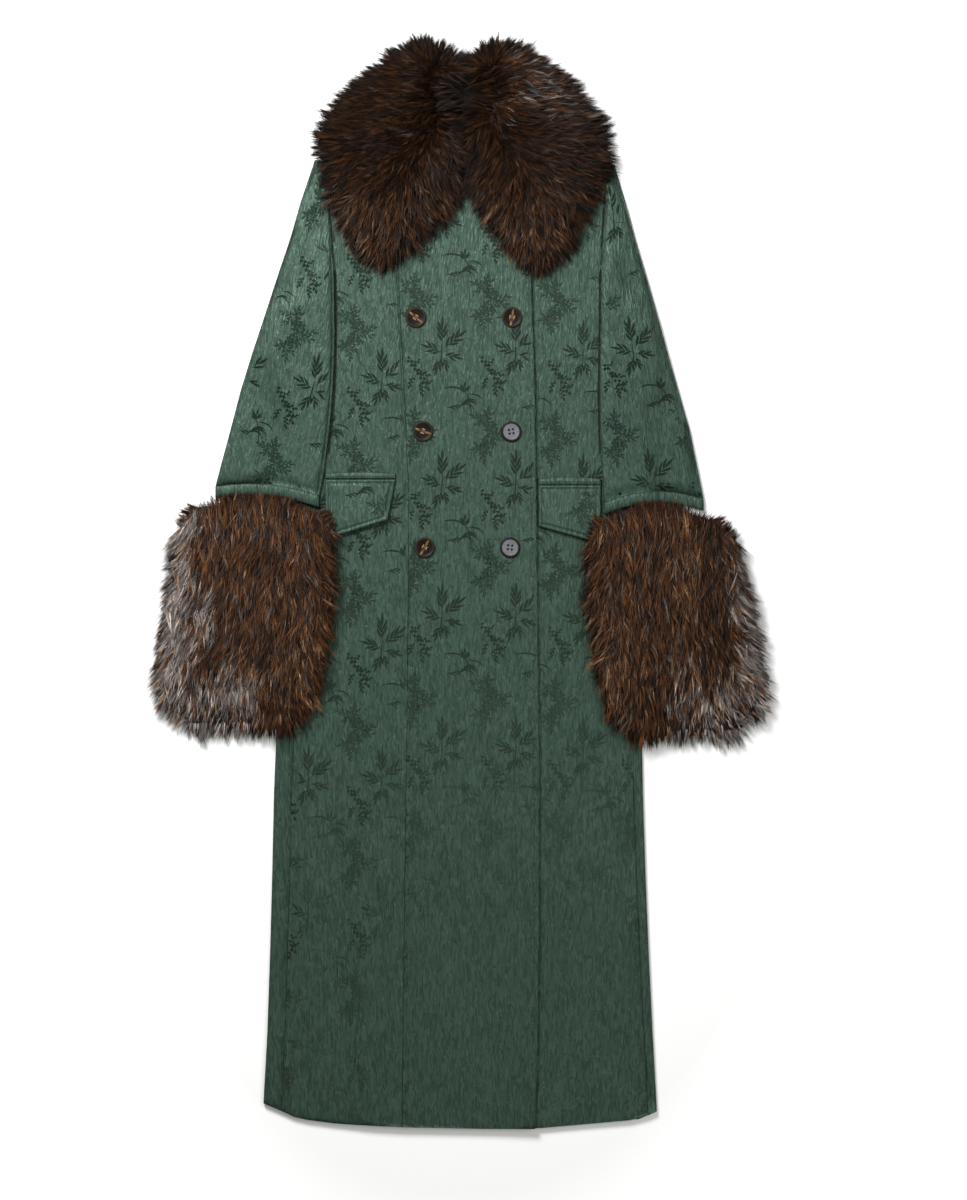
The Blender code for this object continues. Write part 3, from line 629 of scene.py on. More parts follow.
def from_ridge(ridge, places):
    """Ways across the coat from the nearest place of a ridge line, and the distances from it."""
    flat = places[:, :2]
    least = np.full(len(flat), np.inf)
    away = np.zeros_like(flat)
    for start, end in zip(ridge[:-1], ridge[1:]):
        origin, run = np.array(start), np.array(end) - np.array(start)
        share = np.clip(((flat - origin) @ run) / (run @ run), 0.0, 1.0)
        offset = flat - origin - share[:, None] * run
        distance = np.linalg.norm(offset, axis=1)
        closer = distance < least
        least = np.where(closer, distance, least)
        away[closer] = offset[closer]
    return away, least


# way of the hair across the coat, room for it back from its tip, its share of the outline's wisps,
# and how far all of it passes the face
Lie = namedtuple("Lie", "flow room wisps reach")


def comb_collar(side):
    def comb(places, normals):
        away, distance = from_ridge(COLLAR_RIDGE[side], places)
        flow = away / (distance + RIDGE_SOFTNESS)[:, None]
        flow[:, 1] -= COLLAR_SAG * smooth_step((SAG_START - places[:, 1]) / SAG_SPAN)
        return Lie(flow, np.full_like(distance, np.inf), np.ones_like(distance), np.zeros_like(distance))
    return comb


def cuff_top(side, x):
    """y of a cuff's upper rim, met on its solid, and on a gentle slope from the band's ends outwards."""
    node = "fur_cuff_" + side
    solid = search_tree(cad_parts[node].data)
    low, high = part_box(node)
    steps = np.linspace(low.x, high.x, RIM_PLACES)
    rim = []
    for step in steps:
        starts = [Vector((step, RIM_LOOK, level * MM)) for level in RIM_LEVELS]
        met = [solid.ray_cast(start, Vector((0, -1, 0)))[0] for start in starts]
        rim.append(max((place.y for place in met if place is not None), default=low.y))
    band_low, band_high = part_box("cuff_band_" + side)
    beyond = np.maximum(np.maximum(band_low.x / MM - x, x - band_high.x / MM), 0.0)
    return np.maximum(np.interp(x, steps / MM, np.array(rim) / MM), band_low.y / MM - RIM_SLOPE * beyond)


def flared(flare, outward):
    return flare.amount * smooth_step((outward - flare.start) / flare.span)


def comb_cuff(side):
    low, high = (np.array(corner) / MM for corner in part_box("fur_cuff_" + side))
    middle, half = (low[0] + high[0]) / 2, (high[0] - low[0]) / 2
    band_low, band_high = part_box("cuff_band_" + side)
    band_middle, band_half = (band_low.x + band_high.x) / 2 / MM, (band_high.x - band_low.x) / 2 / MM
    lie = CUFF_LIE[side]

    def comb(places, normals):
        outward = SIGN[side] * (places[:, 0] - middle) / half
        aside = SIGN[side] * lie.spread * outward + lie.drift
        aside += SIGN[side] * flared(OUTER_FLARE, outward)
        aside -= SIGN[side] * flared(INNER_FLARE, -outward)
        room = np.maximum(cuff_top(side, places[:, 0]) - places[:, 1], 0.0) + CUFF_ROOM
        flow = np.stack([aside, np.full_like(aside, -1.0)], axis=1)
        crown = normals[:, 1] > CROWN_FACING
        flow = np.where(crown[:, None], normals[:, :2] + CROWN_RISE, flow)
        within = np.abs(places[:, 0] - band_middle) < band_half
        wisps = np.where(crown, np.where(within, BAND_WISPS, CROWN_WISPS), 1.0)
        return Lie(flow, np.where(crown, np.inf, room), wisps, np.where(crown, CROWN_REACH, 0.0))
    return comb


Tone = namedtuple("Tone", "red green blue")
# the dark of the roots and of the underfur pad: partly the fur's own dark underfur, partly painted shade
# deep in the pile
ROOT_TONE = Tone(0.008, 0.004, 0.003)
DARK, BROWN = Tone(0.011, 0.006, 0.004), Tone(0.036, 0.016, 0.008)
RUST, TAN = Tone(0.100, 0.038, 0.012), Tone(0.210, 0.112, 0.055)
SLATE, ASH = Tone(0.105, 0.092, 0.088), Tone(0.300, 0.258, 0.230)
TONES = np.array([DARK, BROWN, RUST, TAN, SLATE, ASH])

# shares of the six tones among the locks, and what is added to them in some parts
Shares = namedtuple("Shares", "dark brown rust tan slate ash")
COLLAR_SHARES = Shares(0.34, 0.40, 0.22, 0.01, 0.01, 0.0)
COLLAR_LOW, COLLAR_ASHEN = Shares(-0.16, 0, 0.10, 0.07, 0, 0), Shares(0, 0, 0, 0, 0.12, 0.10)
CUFF_SHARES = Shares(0.28, 0.32, 0.34, 0.02, 0.03, 0.0)
GREY_SHARES = Shares(0.09, 0.10, 0.04, 0.07, 0.46, 0.24)
CUFF_DARK, CUFF_INNER = Shares(1, 0, 0, 0, 0, 0), Shares(0, 0, 0, 0.22, 0, 0)
CUFF_STREAK = Shares(0, 0, 0.1, 0.12, 0.04, 0)


# where a tone comes in, and over what distance; down or inwards where the distance is below zero
Fade = namedtuple("Fade", "start span")
COLLAR_ENDS, ASHEN_X, ASHEN_Y = Fade(540, -130), Fade(40, 70), Fade(560, 60)
COLLAR_SHADE, ENDS_SHADE, ASHEN_SHADE = 0.27, 0.18, 0.3


def faded(fade, value):
    return smooth_step((value - fade.start) / fade.span)


def shares_at(shares, *additions):
    """Shares of the tones at every place, with each addition by its strength there."""
    total = np.array(shares)
    for strength, added in additions:
        total = total + strength[:, None] * np.array(added)
    return total


def picked_tones(shares, rng):
    """A tone for each lock, drawn by the shares of the six tones at its place."""
    steps = np.cumsum(shares / shares.sum(axis=1, keepdims=True), axis=1)
    pick = (rng.random(len(shares))[:, None] > steps[:, :-1]).sum(axis=1)
    return TONES[pick]


def collar_tones(places, rng):
    """Dark brown locks, rustier on the low ends of the lobes, a few ashen ones at the left lobe's top."""
    low = faded(COLLAR_ENDS, places[:, 1])
    ashen = faded(ASHEN_X, places[:, 0]) * faded(ASHEN_Y, places[:, 1])
    shares = shares_at(COLLAR_SHARES, (low, COLLAR_LOW), (ashen, COLLAR_ASHEN))
    return picked_tones(shares, rng) * (COLLAR_SHADE + ENDS_SHADE * low + ASHEN_SHADE * ashen)[:, None]


# where a cuff is grey, and how strong its rusty streak and its dark streak are
GreyZone = namedtuple("GreyZone", "outer_edge low_edge low_start streak dark")
GREY_ZONE = {"right": GreyZone(0.76, 0.42, 0.74, 0.3, 0.15), "left": GreyZone(0.86, 0.42, 0.74, 1.0, 0.45)}
BLOTCH = Bumps(24.0, 34.0, 0.08, 23)
LOW_EARLY, LOW_SPAN = 0.08, 0.30
GREY_EARLY, OUTER_SPAN, CORNER_SPAN = 0.10, 0.20, 0.26
GREY_TOP, INNER_X, INNER_Y = Fade(0.05, 0.10), Fade(0.42, -0.3), Fade(0.35, 0.4)
Streak = namedtuple("Streak", "middle width")
RUSTY_STREAK, DARK_STREAK = Streak(0.56, 0.07), Streak(0.70, 0.10)
CUFF_SHADE, GREY_SHADE = 0.67, 0.33


def streaked(streak, outward):
    return np.exp(-((outward - streak.middle) / streak.width) ** 2)


def cuff_tones(side):
    low, high = (np.array(corner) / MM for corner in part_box("fur_cuff_" + side))
    zone = GREY_ZONE[side]

    def tones(places, rng):
        """Rusty brown locks, ashen along the outer side and across the lower outer corner."""
        share = (places[:, 0] - low[0]) / (high[0] - low[0])
        outward = share if side == "left" else 1 - share
        down = (high[1] - places[:, 1]) / (high[1] - low[1])
        blotch = swell(BLOTCH, places[:, 0], places[:, 1])
        bottom = smooth_step((down - zone.low_start + LOW_EARLY + blotch) / LOW_SPAN)
        grey = smooth_step((outward - zone.outer_edge + blotch + GREY_EARLY) / OUTER_SPAN)
        corner = smooth_step((outward - zone.low_edge + blotch + GREY_EARLY) / CORNER_SPAN)
        grey = np.maximum(grey, bottom * corner) * faded(GREY_TOP, down)
        inner = faded(INNER_X, outward) * faded(INNER_Y, down)
        streak = streaked(RUSTY_STREAK, outward) * zone.streak
        dark = streaked(DARK_STREAK, outward) * zone.dark
        shares = shares_at(CUFF_SHARES, (dark, CUFF_DARK), (inner, CUFF_INNER), (streak, CUFF_STREAK))
        shares = shares + (np.array(GREY_SHARES) - shares) * grey[:, None]
        return picked_tones(shares, rng) * (CUFF_SHADE + GREY_SHADE * grey)[:, None]
    return tones


Locks = namedtuple("Locks", "places length depth turn reach")


def draw_locks(corners, count, rng):
    """Places of the locks, with each one's length, depth, turn and reach past the outline."""
    places, _ = scattered(corners, count, rng)
    length = np.clip(1.0 + LOCK_SPREAD * rng.standard_normal(count), *LENGTH_LIMITS)
    depth = LOCK_DEPTH * rng.random(count)
    turn = LOCK_TURN * rng.standard_normal(count)
    reach = rng.random(count) ** REACH_POWER
    return Locks(places, length, depth, turn, reach)


def hair_lines(node, coat, comb, rng):
    """Root, middle and tip of each hair, its lock, the way across it, the locks' places and the wisps."""
    corners = outside_faces(node)
    locks = draw_locks(corners, coat.locks, rng)
    places, normals = scattered(corners, coat.hairs, rng, EDGE_SHARE)
    lock, _ = nearest(locks.places, places)

    flow, room, wisps, reach = comb(places, normals)
    turn = locks.turn[lock] + swell(SLOW_TURN, places[:, 0], places[:, 1])
    turn += HAIR_TURN * rng.standard_normal(coat.hairs)
    flow = np.stack([flow[:, 0] * np.cos(turn) - flow[:, 1] * np.sin(turn),
                     flow[:, 0] * np.sin(turn) + flow[:, 1] * np.cos(turn), np.zeros(coat.hairs)], axis=1)
    weak = np.clip(WEAK_FLOW - np.linalg.norm(flow, axis=1), 0.0, WEAK_FLOW)
    lie = unit(flow + normals * (coat.lift + WEAK_LIFT * weak)[:, None])
    own_length = np.clip(1 + HAIR_SPREAD * rng.standard_normal(coat.hairs), *LENGTH_LIMITS)
    length = coat.length * locks.length[lock] * own_length

    steep = 1.0 - smooth_step((normals[:, 2] - STEEP_START) / STEEP_SPAN)
    stray = rng.random(coat.hairs) < coat.wisps
    past = np.where(stray, STRAY_REACH * rng.random(coat.hairs), 0.0)
    past += steep * (locks.reach[lock] + LONE_REACH * rng.random(coat.hairs) ** 2)
    past = past * wisps * WISP_REACH + reach + REACH_SPREAD * rng.standard_normal(coat.hairs)
    past = np.maximum(np.where(room < length, 0.0, past), length - room)
    depth = locks.depth[lock] + HAIR_DEPTH * np.abs(rng.standard_normal(coat.hairs)) + DEPTH_START
    depth = np.where(stray, 0.0, depth * (1.0 - STEEP_DEPTH * steep))

    offset = places - locks.places[lock]
    offset -= lie * (offset * lie).sum(axis=1, keepdims=True)
    gather = coat.gather * np.clip(1 + GATHER_SPREAD * rng.standard_normal(coat.hairs), *GATHER_LIMITS)
    tip = places - normals * depth[:, None] + lie * past[:, None] - offset * gather[:, None]
    middle = tip - lie * (0.5 * length)[:, None] + offset * (0.5 * gather)[:, None]
    middle -= normals * (BELLY * length)[:, None]
    root = tip - lie * length[:, None] + offset * gather[:, None]
    root -= normals * (ROOT_SLOPE * length + ROOT_DEPTH)[:, None]
    line = np.stack([root, middle, tip], axis=1)
    line[..., 2] = np.clip(line[..., 2], HAIR_FLOOR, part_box(node)[1].z / MM + HAIR_RISE)

    roll = rng.uniform(-HAIR_ROLL, HAIR_ROLL, coat.hairs)[:, None]
    run = unit(tip - root)
    across = unit(np.cross(run, unit(normals + FACING_UP)))
    across = across * np.cos(roll) + np.cross(across, run) * np.sin(roll)
    return line, lock, across, locks.places, past > WISP_DARK


# tones of a hair's root and tip, as shares of its own tone
TONE_SPREAD = 0.32
ROOT_SHARE, ROOT_DARK = 0.25, 0.5
DULL_TIPS, DULL_TIP, BRIGHT_TIP, WISP_TIP = 0.2, 0.45, 1.2, 0.35


def hair_ribbons(node, coat, comb, tones):
    """Points, faces and colours of the hair on one fur solid, each hair a narrow kite."""
    rng = np.random.default_rng(coat.seed)
    line, lock, across, lock_places, wisp = hair_lines(node, coat, comb, rng)
    half = across * (HAIR_WIDTH * rng.uniform(*WIDTH_SPREAD, coat.hairs) / 2)[:, None]
    points = np.stack([line[:, 0], line[:, 1] - half, line[:, 1] + half, line[:, 2]], axis=1)
    points[..., 2] = np.maximum(points[..., 2], HAIR_FLOOR)
    first = 4 * np.arange(coat.hairs)[:, None, None]
    faces = (first + np.array([[0, 2, 1], [1, 2, 3]])).reshape(-1, 3)
    tone = tones(lock_places, rng)[lock] * np.exp(TONE_SPREAD * rng.standard_normal(coat.hairs))[:, None]
    # roots darker: partly the fur's own dark underfur, partly painted shade down among the hairs
    root_tone = ROOT_SHARE * tone + ROOT_DARK * np.array(ROOT_TONE)
    tip_tone = tone * np.where(rng.random(coat.hairs) < DULL_TIPS, DULL_TIP, BRIGHT_TIP)[:, None]
    tip_tone = np.where(wisp[:, None], WISP_TIP * tip_tone, tip_tone)
    colours = np.stack([root_tone, tone, tone, tip_tone], axis=1)
    return points.reshape(-1, 3), faces, colours.reshape(-1, 3)


def underfur(node):
    """Points and faces of the dense hair below: the solid, drawn in from its top and sides."""
    work = bmesh.new()
    work.from_mesh(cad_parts[node].data)
    bmesh.ops.remove_doubles(work, verts=work.verts[:], dist=WELD)
    work.normal_update()
    tree = BVHTree.FromBMesh(work)
    points = []
    for vertex in work.verts:
        height = vertex.co.z / MM
        covered = tree.ray_cast(vertex.co + UP * POINT_CLEAR, UP)[0] is not None
        drop = 0.0 if covered else UNDERFUR_DROP * smooth_step((height - UNDERFUR_START) / UNDERFUR_SPAN)
        aside = Vector((vertex.normal.x, vertex.normal.y, 0.0)) * (0.0 if covered else UNDERFUR_INSET)
        points.append((vertex.co.x / MM - aside.x, vertex.co.y / MM - aside.y, height - drop))
    work.verts.index_update()
    faces = [[vertex.index for vertex in face.verts] for face in work.faces]
    work.free()
    return np.array(points), np.array(faces)


def make_fur(node, coat, comb, tones, material):
    hair_points, hair_faces, hair_colours = hair_ribbons(node, coat, comb, tones)
    pad_points, pad_faces = underfur(node)
    points = np.concatenate([pad_points, hair_points]) * MM
    faces = np.concatenate([pad_faces, hair_faces + len(pad_points)])
    mesh = bpy.data.meshes.new(node + "_hair")
    mesh.vertices.add(len(points))
    mesh.vertices.foreach_set("co", points.astype(np.float32).ravel())
    mesh.loops.add(faces.size)
    mesh.loops.foreach_set("vertex_index", faces.astype(np.int32).ravel())
    mesh.polygons.add(len(faces))
    mesh.polygons.foreach_set("loop_start", np.arange(0, faces.size, 3, dtype=np.int32))
    mesh.update(calc_edges=True)
    # the underfur pad takes the dark root tone, partly painted shade deep in the pile
    pad_tone = np.broadcast_to(np.array(ROOT_TONE), pad_points.shape)
    colours = np.ones((len(points), 4), np.float32)
    colours[:, :3] = np.concatenate([pad_tone, hair_colours])
    tint = mesh.color_attributes.new("hair_tone", "FLOAT_COLOR", "POINT")
    tint.data.foreach_set("color", colours.ravel())
    piece = add_piece(node + "_hair", mesh, material)
    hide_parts(node)


# Buttons

BUTTON_SIDES = 64
RingRow = namedtuple("RingRow", "radius z")
BUTTON_PROFILE = (
    RingRow(10.9, 0.0), RingRow(12.0, 0.5), RingRow(12.6, 1.3), RingRow(12.7, 2.1), RingRow(12.6, 2.9),
    RingRow(12.2, 3.6), RingRow(11.6, 3.95), RingRow(10.9, 3.95), RingRow(10.3, 3.6), RingRow(9.7, 3.2),
    RingRow(8.6, 3.0), RingRow(6.2, 2.85), RingRow(0.0, 2.7),
)
HOLE_RADIUS, HOLE_OFFSET, HOLE_SIDES, DRILL_LENGTH = 1.6, 2.5, 20, 20.0
THREAD_RADIUS, THREAD_SIDES, THREAD_STEPS = 0.42, 8, 9
THREAD_ASIDE, THREAD_CLOSING, THREAD_LEVEL, THREAD_RISE = 0.3, 0.4, 2.1, 0.9
SHARP_ANGLE = math.radians(40)
ButtonLook = namedtuple("ButtonLook", "node turn_degrees finish")
BUTTONS = (
    ButtonLook("button_1", -40, "dark"), ButtonLook("button_2", -20, "dark"),
    ButtonLook("button_3", 60, "dark"), ButtonLook("button_4", 80, "dark"),
    ButtonLook("button_5", 8, "grey"), ButtonLook("button_6", -6, "grey"),
)


def round_angles(sides):
    return np.linspace(0, 2 * math.pi, sides, endpoint=False)


def join_rings(work, rings):
    """Four-sided faces between each ring of points and the next."""
    for low, high in zip(rings[:-1], rings[1:]):
        for k in range(len(low)):
            after = (k + 1) % len(low)
            work.faces.new((low[k], low[after], high[after], high[k]))


def drilled_holes():
    """Four rods where a button's holes are."""
    work = bmesh.new()
    for x in (-HOLE_OFFSET, HOLE_OFFSET):
        for y in (-HOLE_OFFSET, HOLE_OFFSET):
            made = bmesh.ops.create_cone(work, cap_ends=True, segments=HOLE_SIDES, depth=DRILL_LENGTH * MM,
                                         radius1=HOLE_RADIUS * MM, radius2=HOLE_RADIUS * MM)
            bmesh.ops.translate(work, verts=made["verts"], vec=(x * MM, y * MM, 0))
    return finished(work, "button_drills")


def turned_disc():
    """A finely turned disc with a rounded rim, a dished face and four drilled holes."""
    work = bmesh.new()
    rings = [[work.verts.new((row.radius * math.cos(a) * MM, row.radius * math.sin(a) * MM, row.z * MM))
              for a in round_angles(BUTTON_SIDES)] for row in BUTTON_PROFILE[:-1]]
    join_rings(work, rings)
    work.faces.new(list(reversed(rings[0])))
    middle = work.verts.new((0, 0, BUTTON_PROFILE[-1].z * MM))
    for k in range(BUTTON_SIDES):
        work.faces.new((rings[-1][k], rings[-1][(k + 1) % BUTTON_SIDES], middle))
    disc = bpy.data.objects.new("button_disc", finished(work, "button_disc"))
    cutter = bpy.data.objects.new("button_drills", drilled_holes())
    for made in (disc, cutter):
        bpy.context.scene.collection.objects.link(made)
    cut = disc.modifiers.new("holes", "BOOLEAN")
    cut.operation = "DIFFERENCE"
    cut.object = cutter
    drilled = bpy.data.meshes.new_from_object(disc.evaluated_get(bpy.context.evaluated_depsgraph_get()))
    for made in (disc, cutter):
        bpy.data.objects.remove(made)
    return drilled


def thread_mesh():
    """Two bundles of thread, each arching from hole to hole."""
    work = bmesh.new()
    for y in (-HOLE_OFFSET, HOLE_OFFSET):
        for aside in (-THREAD_ASIDE, THREAD_ASIDE):
            rings = []
            for t in np.linspace(-1.0, 1.0, THREAD_STEPS):
                centre = np.array([HOLE_OFFSET * t, y + aside * (1 - THREAD_CLOSING * t * t),
                                   THREAD_LEVEL + THREAD_RISE * (1 - t ** 4)])
                ring = [centre + THREAD_RADIUS * np.array([0, math.cos(a), math.sin(a)])
                        for a in round_angles(THREAD_SIDES)]
                rings.append([work.verts.new(point * MM) for point in ring])
            join_rings(work, rings)
            work.faces.new(rings[0])
            work.faces.new(list(reversed(rings[-1])))
    bmesh.ops.recalc_face_normals(work, faces=work.faces[:])
    return finished(work, "button_thread")


def make_buttons(finishes, thread):
    disc, threads = turned_disc(), thread_mesh()
    for look in BUTTONS:
        low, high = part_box(look.node)
        place = Vector(((low.x + high.x) / 2, (low.y + high.y) / 2, low.z))
        turn = math.radians(look.turn_degrees)
        parts = [("_disc", disc, finishes[look.finish])]
        if look.finish == "dark":
            parts.append(("_thread", threads, thread))
        for name, mesh, material in parts:
            own = mesh.copy()
            own.materials.clear()
            piece = add_piece(look.node + name, own, material, place, turn)
            own.set_sharp_from_angle(angle=SHARP_ANGLE)
            if mesh is disc:
                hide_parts(look.node)


# Materials

def new_material(name):
    material = bpy.data.materials.new(name)
    material.use_nodes = True
    tree = material.node_tree
    return material, tree, tree.nodes["Principled BSDF"]


def fill(tree, node, inputs):
    """Sets a node's inputs to values, or links them to sockets."""
    for name, value in inputs.items():
        if isinstance(value, bpy.types.NodeSocket):
            tree.links.new(value, node.inputs[name])
        else:
            node.inputs[name].default_value = value


def add_node(tree, kind, inputs=None, **settings):
    node = tree.nodes.new(kind)
    for name, value in settings.items():
        setattr(node, name, value)
    fill(tree, node, inputs or {})
    return node


def object_place(tree):
    return add_node(tree, "ShaderNodeTexCoord").outputs["Object"]


def number(tree, operation, *values):
    return add_node(tree, "ShaderNodeMath", dict(enumerate(values)), operation=operation).outputs[0]


def vector(tree, operation, *values):
    node = add_node(tree, "ShaderNodeVectorMath", dict(enumerate(values)), operation=operation)
    return node.outputs["Value" if operation == "LENGTH" else "Vector"]


def noise(tree, place, inputs):
    return add_node(tree, "ShaderNodeTexNoise", {"Vector": place, **inputs}).outputs["Fac"]


def ramp(tree, value, inputs):
    return add_node(tree, "ShaderNodeMapRange", {"Value": value, **inputs}).outputs["Result"]


def mixed(tree, factor, first, second):
    """Colour socket that goes from the first colour to the second."""
    return add_node(tree, "ShaderNodeMix", {0: factor, 6: first, 7: second}, data_type="RGBA").outputs[2]


VECTOR, FLOAT, COLOUR = "NodeSocketVector", "NodeSocketFloat", "NodeSocketColor"


def new_group(name, inputs, outputs):
    """An empty shader group with sockets of the kinds given, and its input and output nodes."""
    group = bpy.data.node_groups.new(name, "ShaderNodeTree")
    for way, sockets in (("INPUT", inputs), ("OUTPUT", outputs)):
        for socket, kind in sockets.items():
            group.interface.new_socket(socket, in_out=way, socket_type=kind)
    return group, group.nodes.new("NodeGroupInput").outputs, group.nodes.new("NodeGroupOutput")


CRINKLE_SCALE, THREAD_SCALE, THREAD_SHARE = (410.0, 76.0, 60.0), (1500.0, 420.0, 400.0), 0.16


def crinkle_group():
    """Fine crinkle along the cloth's grain and the thread's own grain, as colour, roughness and height. The
    colour is painted shade and highlight: the deep colour in the crinkle's troughs, the lit colour on its
    ridges.
    """
    group, given, put = new_group("crinkle", {"Vector": VECTOR, "Lines": FLOAT, "Deep": COLOUR,
                                              "Lit": COLOUR, "Smooth": FLOAT, "Dull": FLOAT},
                                  {"Color": COLOUR, "Roughness": FLOAT, "Height": FLOAT})
    lines = noise(group, vector(group, "MULTIPLY", given["Vector"], CRINKLE_SCALE),
                  {"Scale": 1.0, "Detail": 1.0, "Roughness": 0.4, "Distortion": 0.9})
    grain = noise(group, vector(group, "MULTIPLY", given["Vector"], THREAD_SCALE),
                  {"Scale": 1.0, "Detail": 1.0})
    strong = number(group, "MULTIPLY", lines, given["Lines"])
    weak = number(group, "MULTIPLY", grain, THREAD_SHARE)
    # painted shade and highlight: the crinkle lines pick the colour, deep in the troughs and lit on the
    # ridges
    shade = ramp(group, lines, {"From Min": 0.32, "From Max": 0.68})
    fill(group, put, {"Color": mixed(group, shade, given["Deep"], given["Lit"]),
                      "Roughness": ramp(group, shade, {"To Min": given["Dull"], "To Max": given["Smooth"]}),
                      "Height": number(group, "ADD", strong, weak)})
    return group


def leaning_group():
    """A normal that leans along the coat, as satin does where its threads float the other way."""
    group, given, put = new_group("leaning_normal", {"Normal": VECTOR, "Lean": FLOAT}, {"Normal": VECTOR})
    lean = add_node(group, "ShaderNodeCombineXYZ", {"Y": given["Lean"]}).outputs[0]
    leaning = vector(group, "ADD", given["Normal"], lean)
    fill(group, put, {"Normal": vector(group, "NORMALIZE", leaning)})
    return group


# deep and lit are painted shade in the crinkle's troughs and painted highlight on its ridges
Satin = namedtuple("Satin", "deep lit metallic specular rough_low rough_high relief lines tilt")
GROUND = Satin((0.0175, 0.0335, 0.024), (0.0345, 0.0585, 0.044), 0.30, 0.08, 0.42, 0.50, 1.0, 1.0, 0.0)
SPRIG = Satin((0.026, 0.042, 0.032), (0.036, 0.055, 0.043), 0.85, 0.05, 0.32, 0.38, 0.3, 0.6, -0.22)
FOLIAGE = Satin((0.026, 0.043, 0.033), (0.035, 0.056, 0.044), 0.64, 0.05, 0.32, 0.38, 0.3, 0.6, -0.22)
# darker copies of the sprigs for the sleeves, with no sheen: painted shade, because the sleeve heads face
# the key light more and their sprigs would catch its reflection
SHADED_SLEEVE_SPRIG = Satin((0.004, 0.009, 0.006), (0.006, 0.013, 0.009), 0.0, 0.12, 0.34, 0.40, 0.3, 0.6, -0.22)
SHADED_SLEEVE_FOLIAGE = Satin((0.008, 0.017, 0.012), (0.012, 0.023, 0.017), 0.0, 0.12, 0.34, 0.40, 0.3, 0.6, -0.22)
# dark thread, also used for painted shade: the buttonhole's slit and the shadow lines beside the sleeves
STITCH_AND_SHADOW = Satin((0.003, 0.006, 0.004), (0.006, 0.010, 0.007), 0.0, 0.1, 0.60, 0.70, 0.10, 0.3, 0.0)
# near black, darker than cloth is: the collar stand's own dark colour with painted shade inside the neck
# opening
SHADED_STAND = Satin((0.003, 0.003, 0.003), (0.006, 0.006, 0.006), 0.0, 0.02, 0.60, 0.70, 0.20, 0.3, 0.0)


BUMP_DISTANCE = 0.0016  # metres


def satin(name, crinkles, leaning, cloth, lean=0.0):
    material, tree, shader = new_material(name)
    turned = add_node(tree, "ShaderNodeMapping", {"Vector": object_place(tree), "Rotation": (0, 0, lean)})
    relief = add_node(tree, "ShaderNodeGroup", {"Vector": turned.outputs["Vector"], "Lines": cloth.lines,
                                                "Deep": (*cloth.deep, 1.0), "Lit": (*cloth.lit, 1.0),
                                                "Smooth": cloth.rough_low, "Dull": cloth.rough_high},
                      node_tree=crinkles).outputs
    bump = add_node(tree, "ShaderNodeBump", {"Height": relief["Height"], "Strength": cloth.relief,
                                             "Distance": BUMP_DISTANCE})
    normal = bump.outputs["Normal"]
    if cloth.tilt != 0.0:
        tilted = add_node(tree, "ShaderNodeGroup", {"Normal": normal, "Lean": cloth.tilt}, node_tree=leaning)
        normal = tilted.outputs["Normal"]
    fill(tree, shader, {"Base Color": relief["Color"], "Roughness": relief["Roughness"], "Normal": normal,
                        "Metallic": cloth.metallic, "Specular IOR Level": cloth.specular})
    return material


def hair_material():
    material, tree, shader = new_material("brown_fur_hair")
    tone = add_node(tree, "ShaderNodeVertexColor", layer_name="hair_tone").outputs["Color"]
    patches = noise(tree, object_place(tree), {"Scale": 420.0, "Detail": 2.0})
    vary = ramp(tree, patches, {"From Min": 0.3, "From Max": 0.7, "To Min": 0.75, "To Max": 1.25})
    colour = add_node(tree, "ShaderNodeVectorMath", {0: tone, "Scale": vary}, operation="SCALE")
    fill(tree, shader, {"Base Color": colour.outputs[0], "Roughness": 0.48, "Specular IOR Level": 0.07})
    return material


Horn = namedtuple("Horn", "dark light streak rim")
# the dark horn's rim tone is lighter than its face: a painted highlight round the rim
DARK_HORN = Horn((0.004, 0.003, 0.002), (0.009, 0.006, 0.004), (0.170, 0.095, 0.042), (0.018, 0.012, 0.009))
GREY_HORN = Horn((0.072, 0.072, 0.082), (0.104, 0.103, 0.116), (0.092, 0.091, 0.103), (0.010, 0.008, 0.007))
RIM_START, RIM_END = 0.0096, 0.0104  # metres from a button's middle
STREAK_START, STREAK_END = 0.0006, 0.0017
MOTTLE_SCALE = (60.0, 260.0, 60.0)
HORN_TONES = ("Dark", "Light", "Streak", "Rim")


def horn_group():
    """Colour of a horn button: mottled, with a broken streak over its middle and a rim coloured apart, which
    on the dark horn is lighter as a painted highlight.
    """
    group, given, put = new_group("horn_marks", {"Vector": VECTOR, **{tone: COLOUR for tone in HORN_TONES}},
                                  {"Color": COLOUR})
    place = given["Vector"]
    mottle = noise(group, vector(group, "MULTIPLY", place, MOTTLE_SCALE),
                   {"Scale": 1.0, "Detail": 4.0, "Distortion": 1.2})
    mask = ramp(group, mottle, {"From Min": 0.38, "From Max": 0.60})
    parts = add_node(group, "ShaderNodeSeparateXYZ", {0: place})
    aside = number(group, "ABSOLUTE", parts.outputs["Y"])
    band = ramp(group, aside, {"From Min": STREAK_END, "From Max": STREAK_START})
    radius = vector(group, "LENGTH", vector(group, "MULTIPLY", place, (1.0, 1.0, 0.0)))
    edge = ramp(group, radius, {"From Min": RIM_START, "From Max": RIM_END})
    colour = mixed(group, mask, given["Dark"], given["Light"])
    colour = mixed(group, number(group, "MULTIPLY", band, mask), colour, given["Streak"])
    fill(group, put, {"Color": mixed(group, edge, colour, given["Rim"])})
    return group


def horn(name, marks, look):
    material, tree, shader = new_material(name)
    tones = {socket: (*tone, 1.0) for socket, tone in zip(HORN_TONES, look)}
    marked = add_node(tree, "ShaderNodeGroup", {"Vector": object_place(tree), **tones}, node_tree=marks)
    fill(tree, shader, {"Base Color": marked.outputs["Color"], "Roughness": 0.38,
                        "Specular IOR Level": 0.05})
    return material


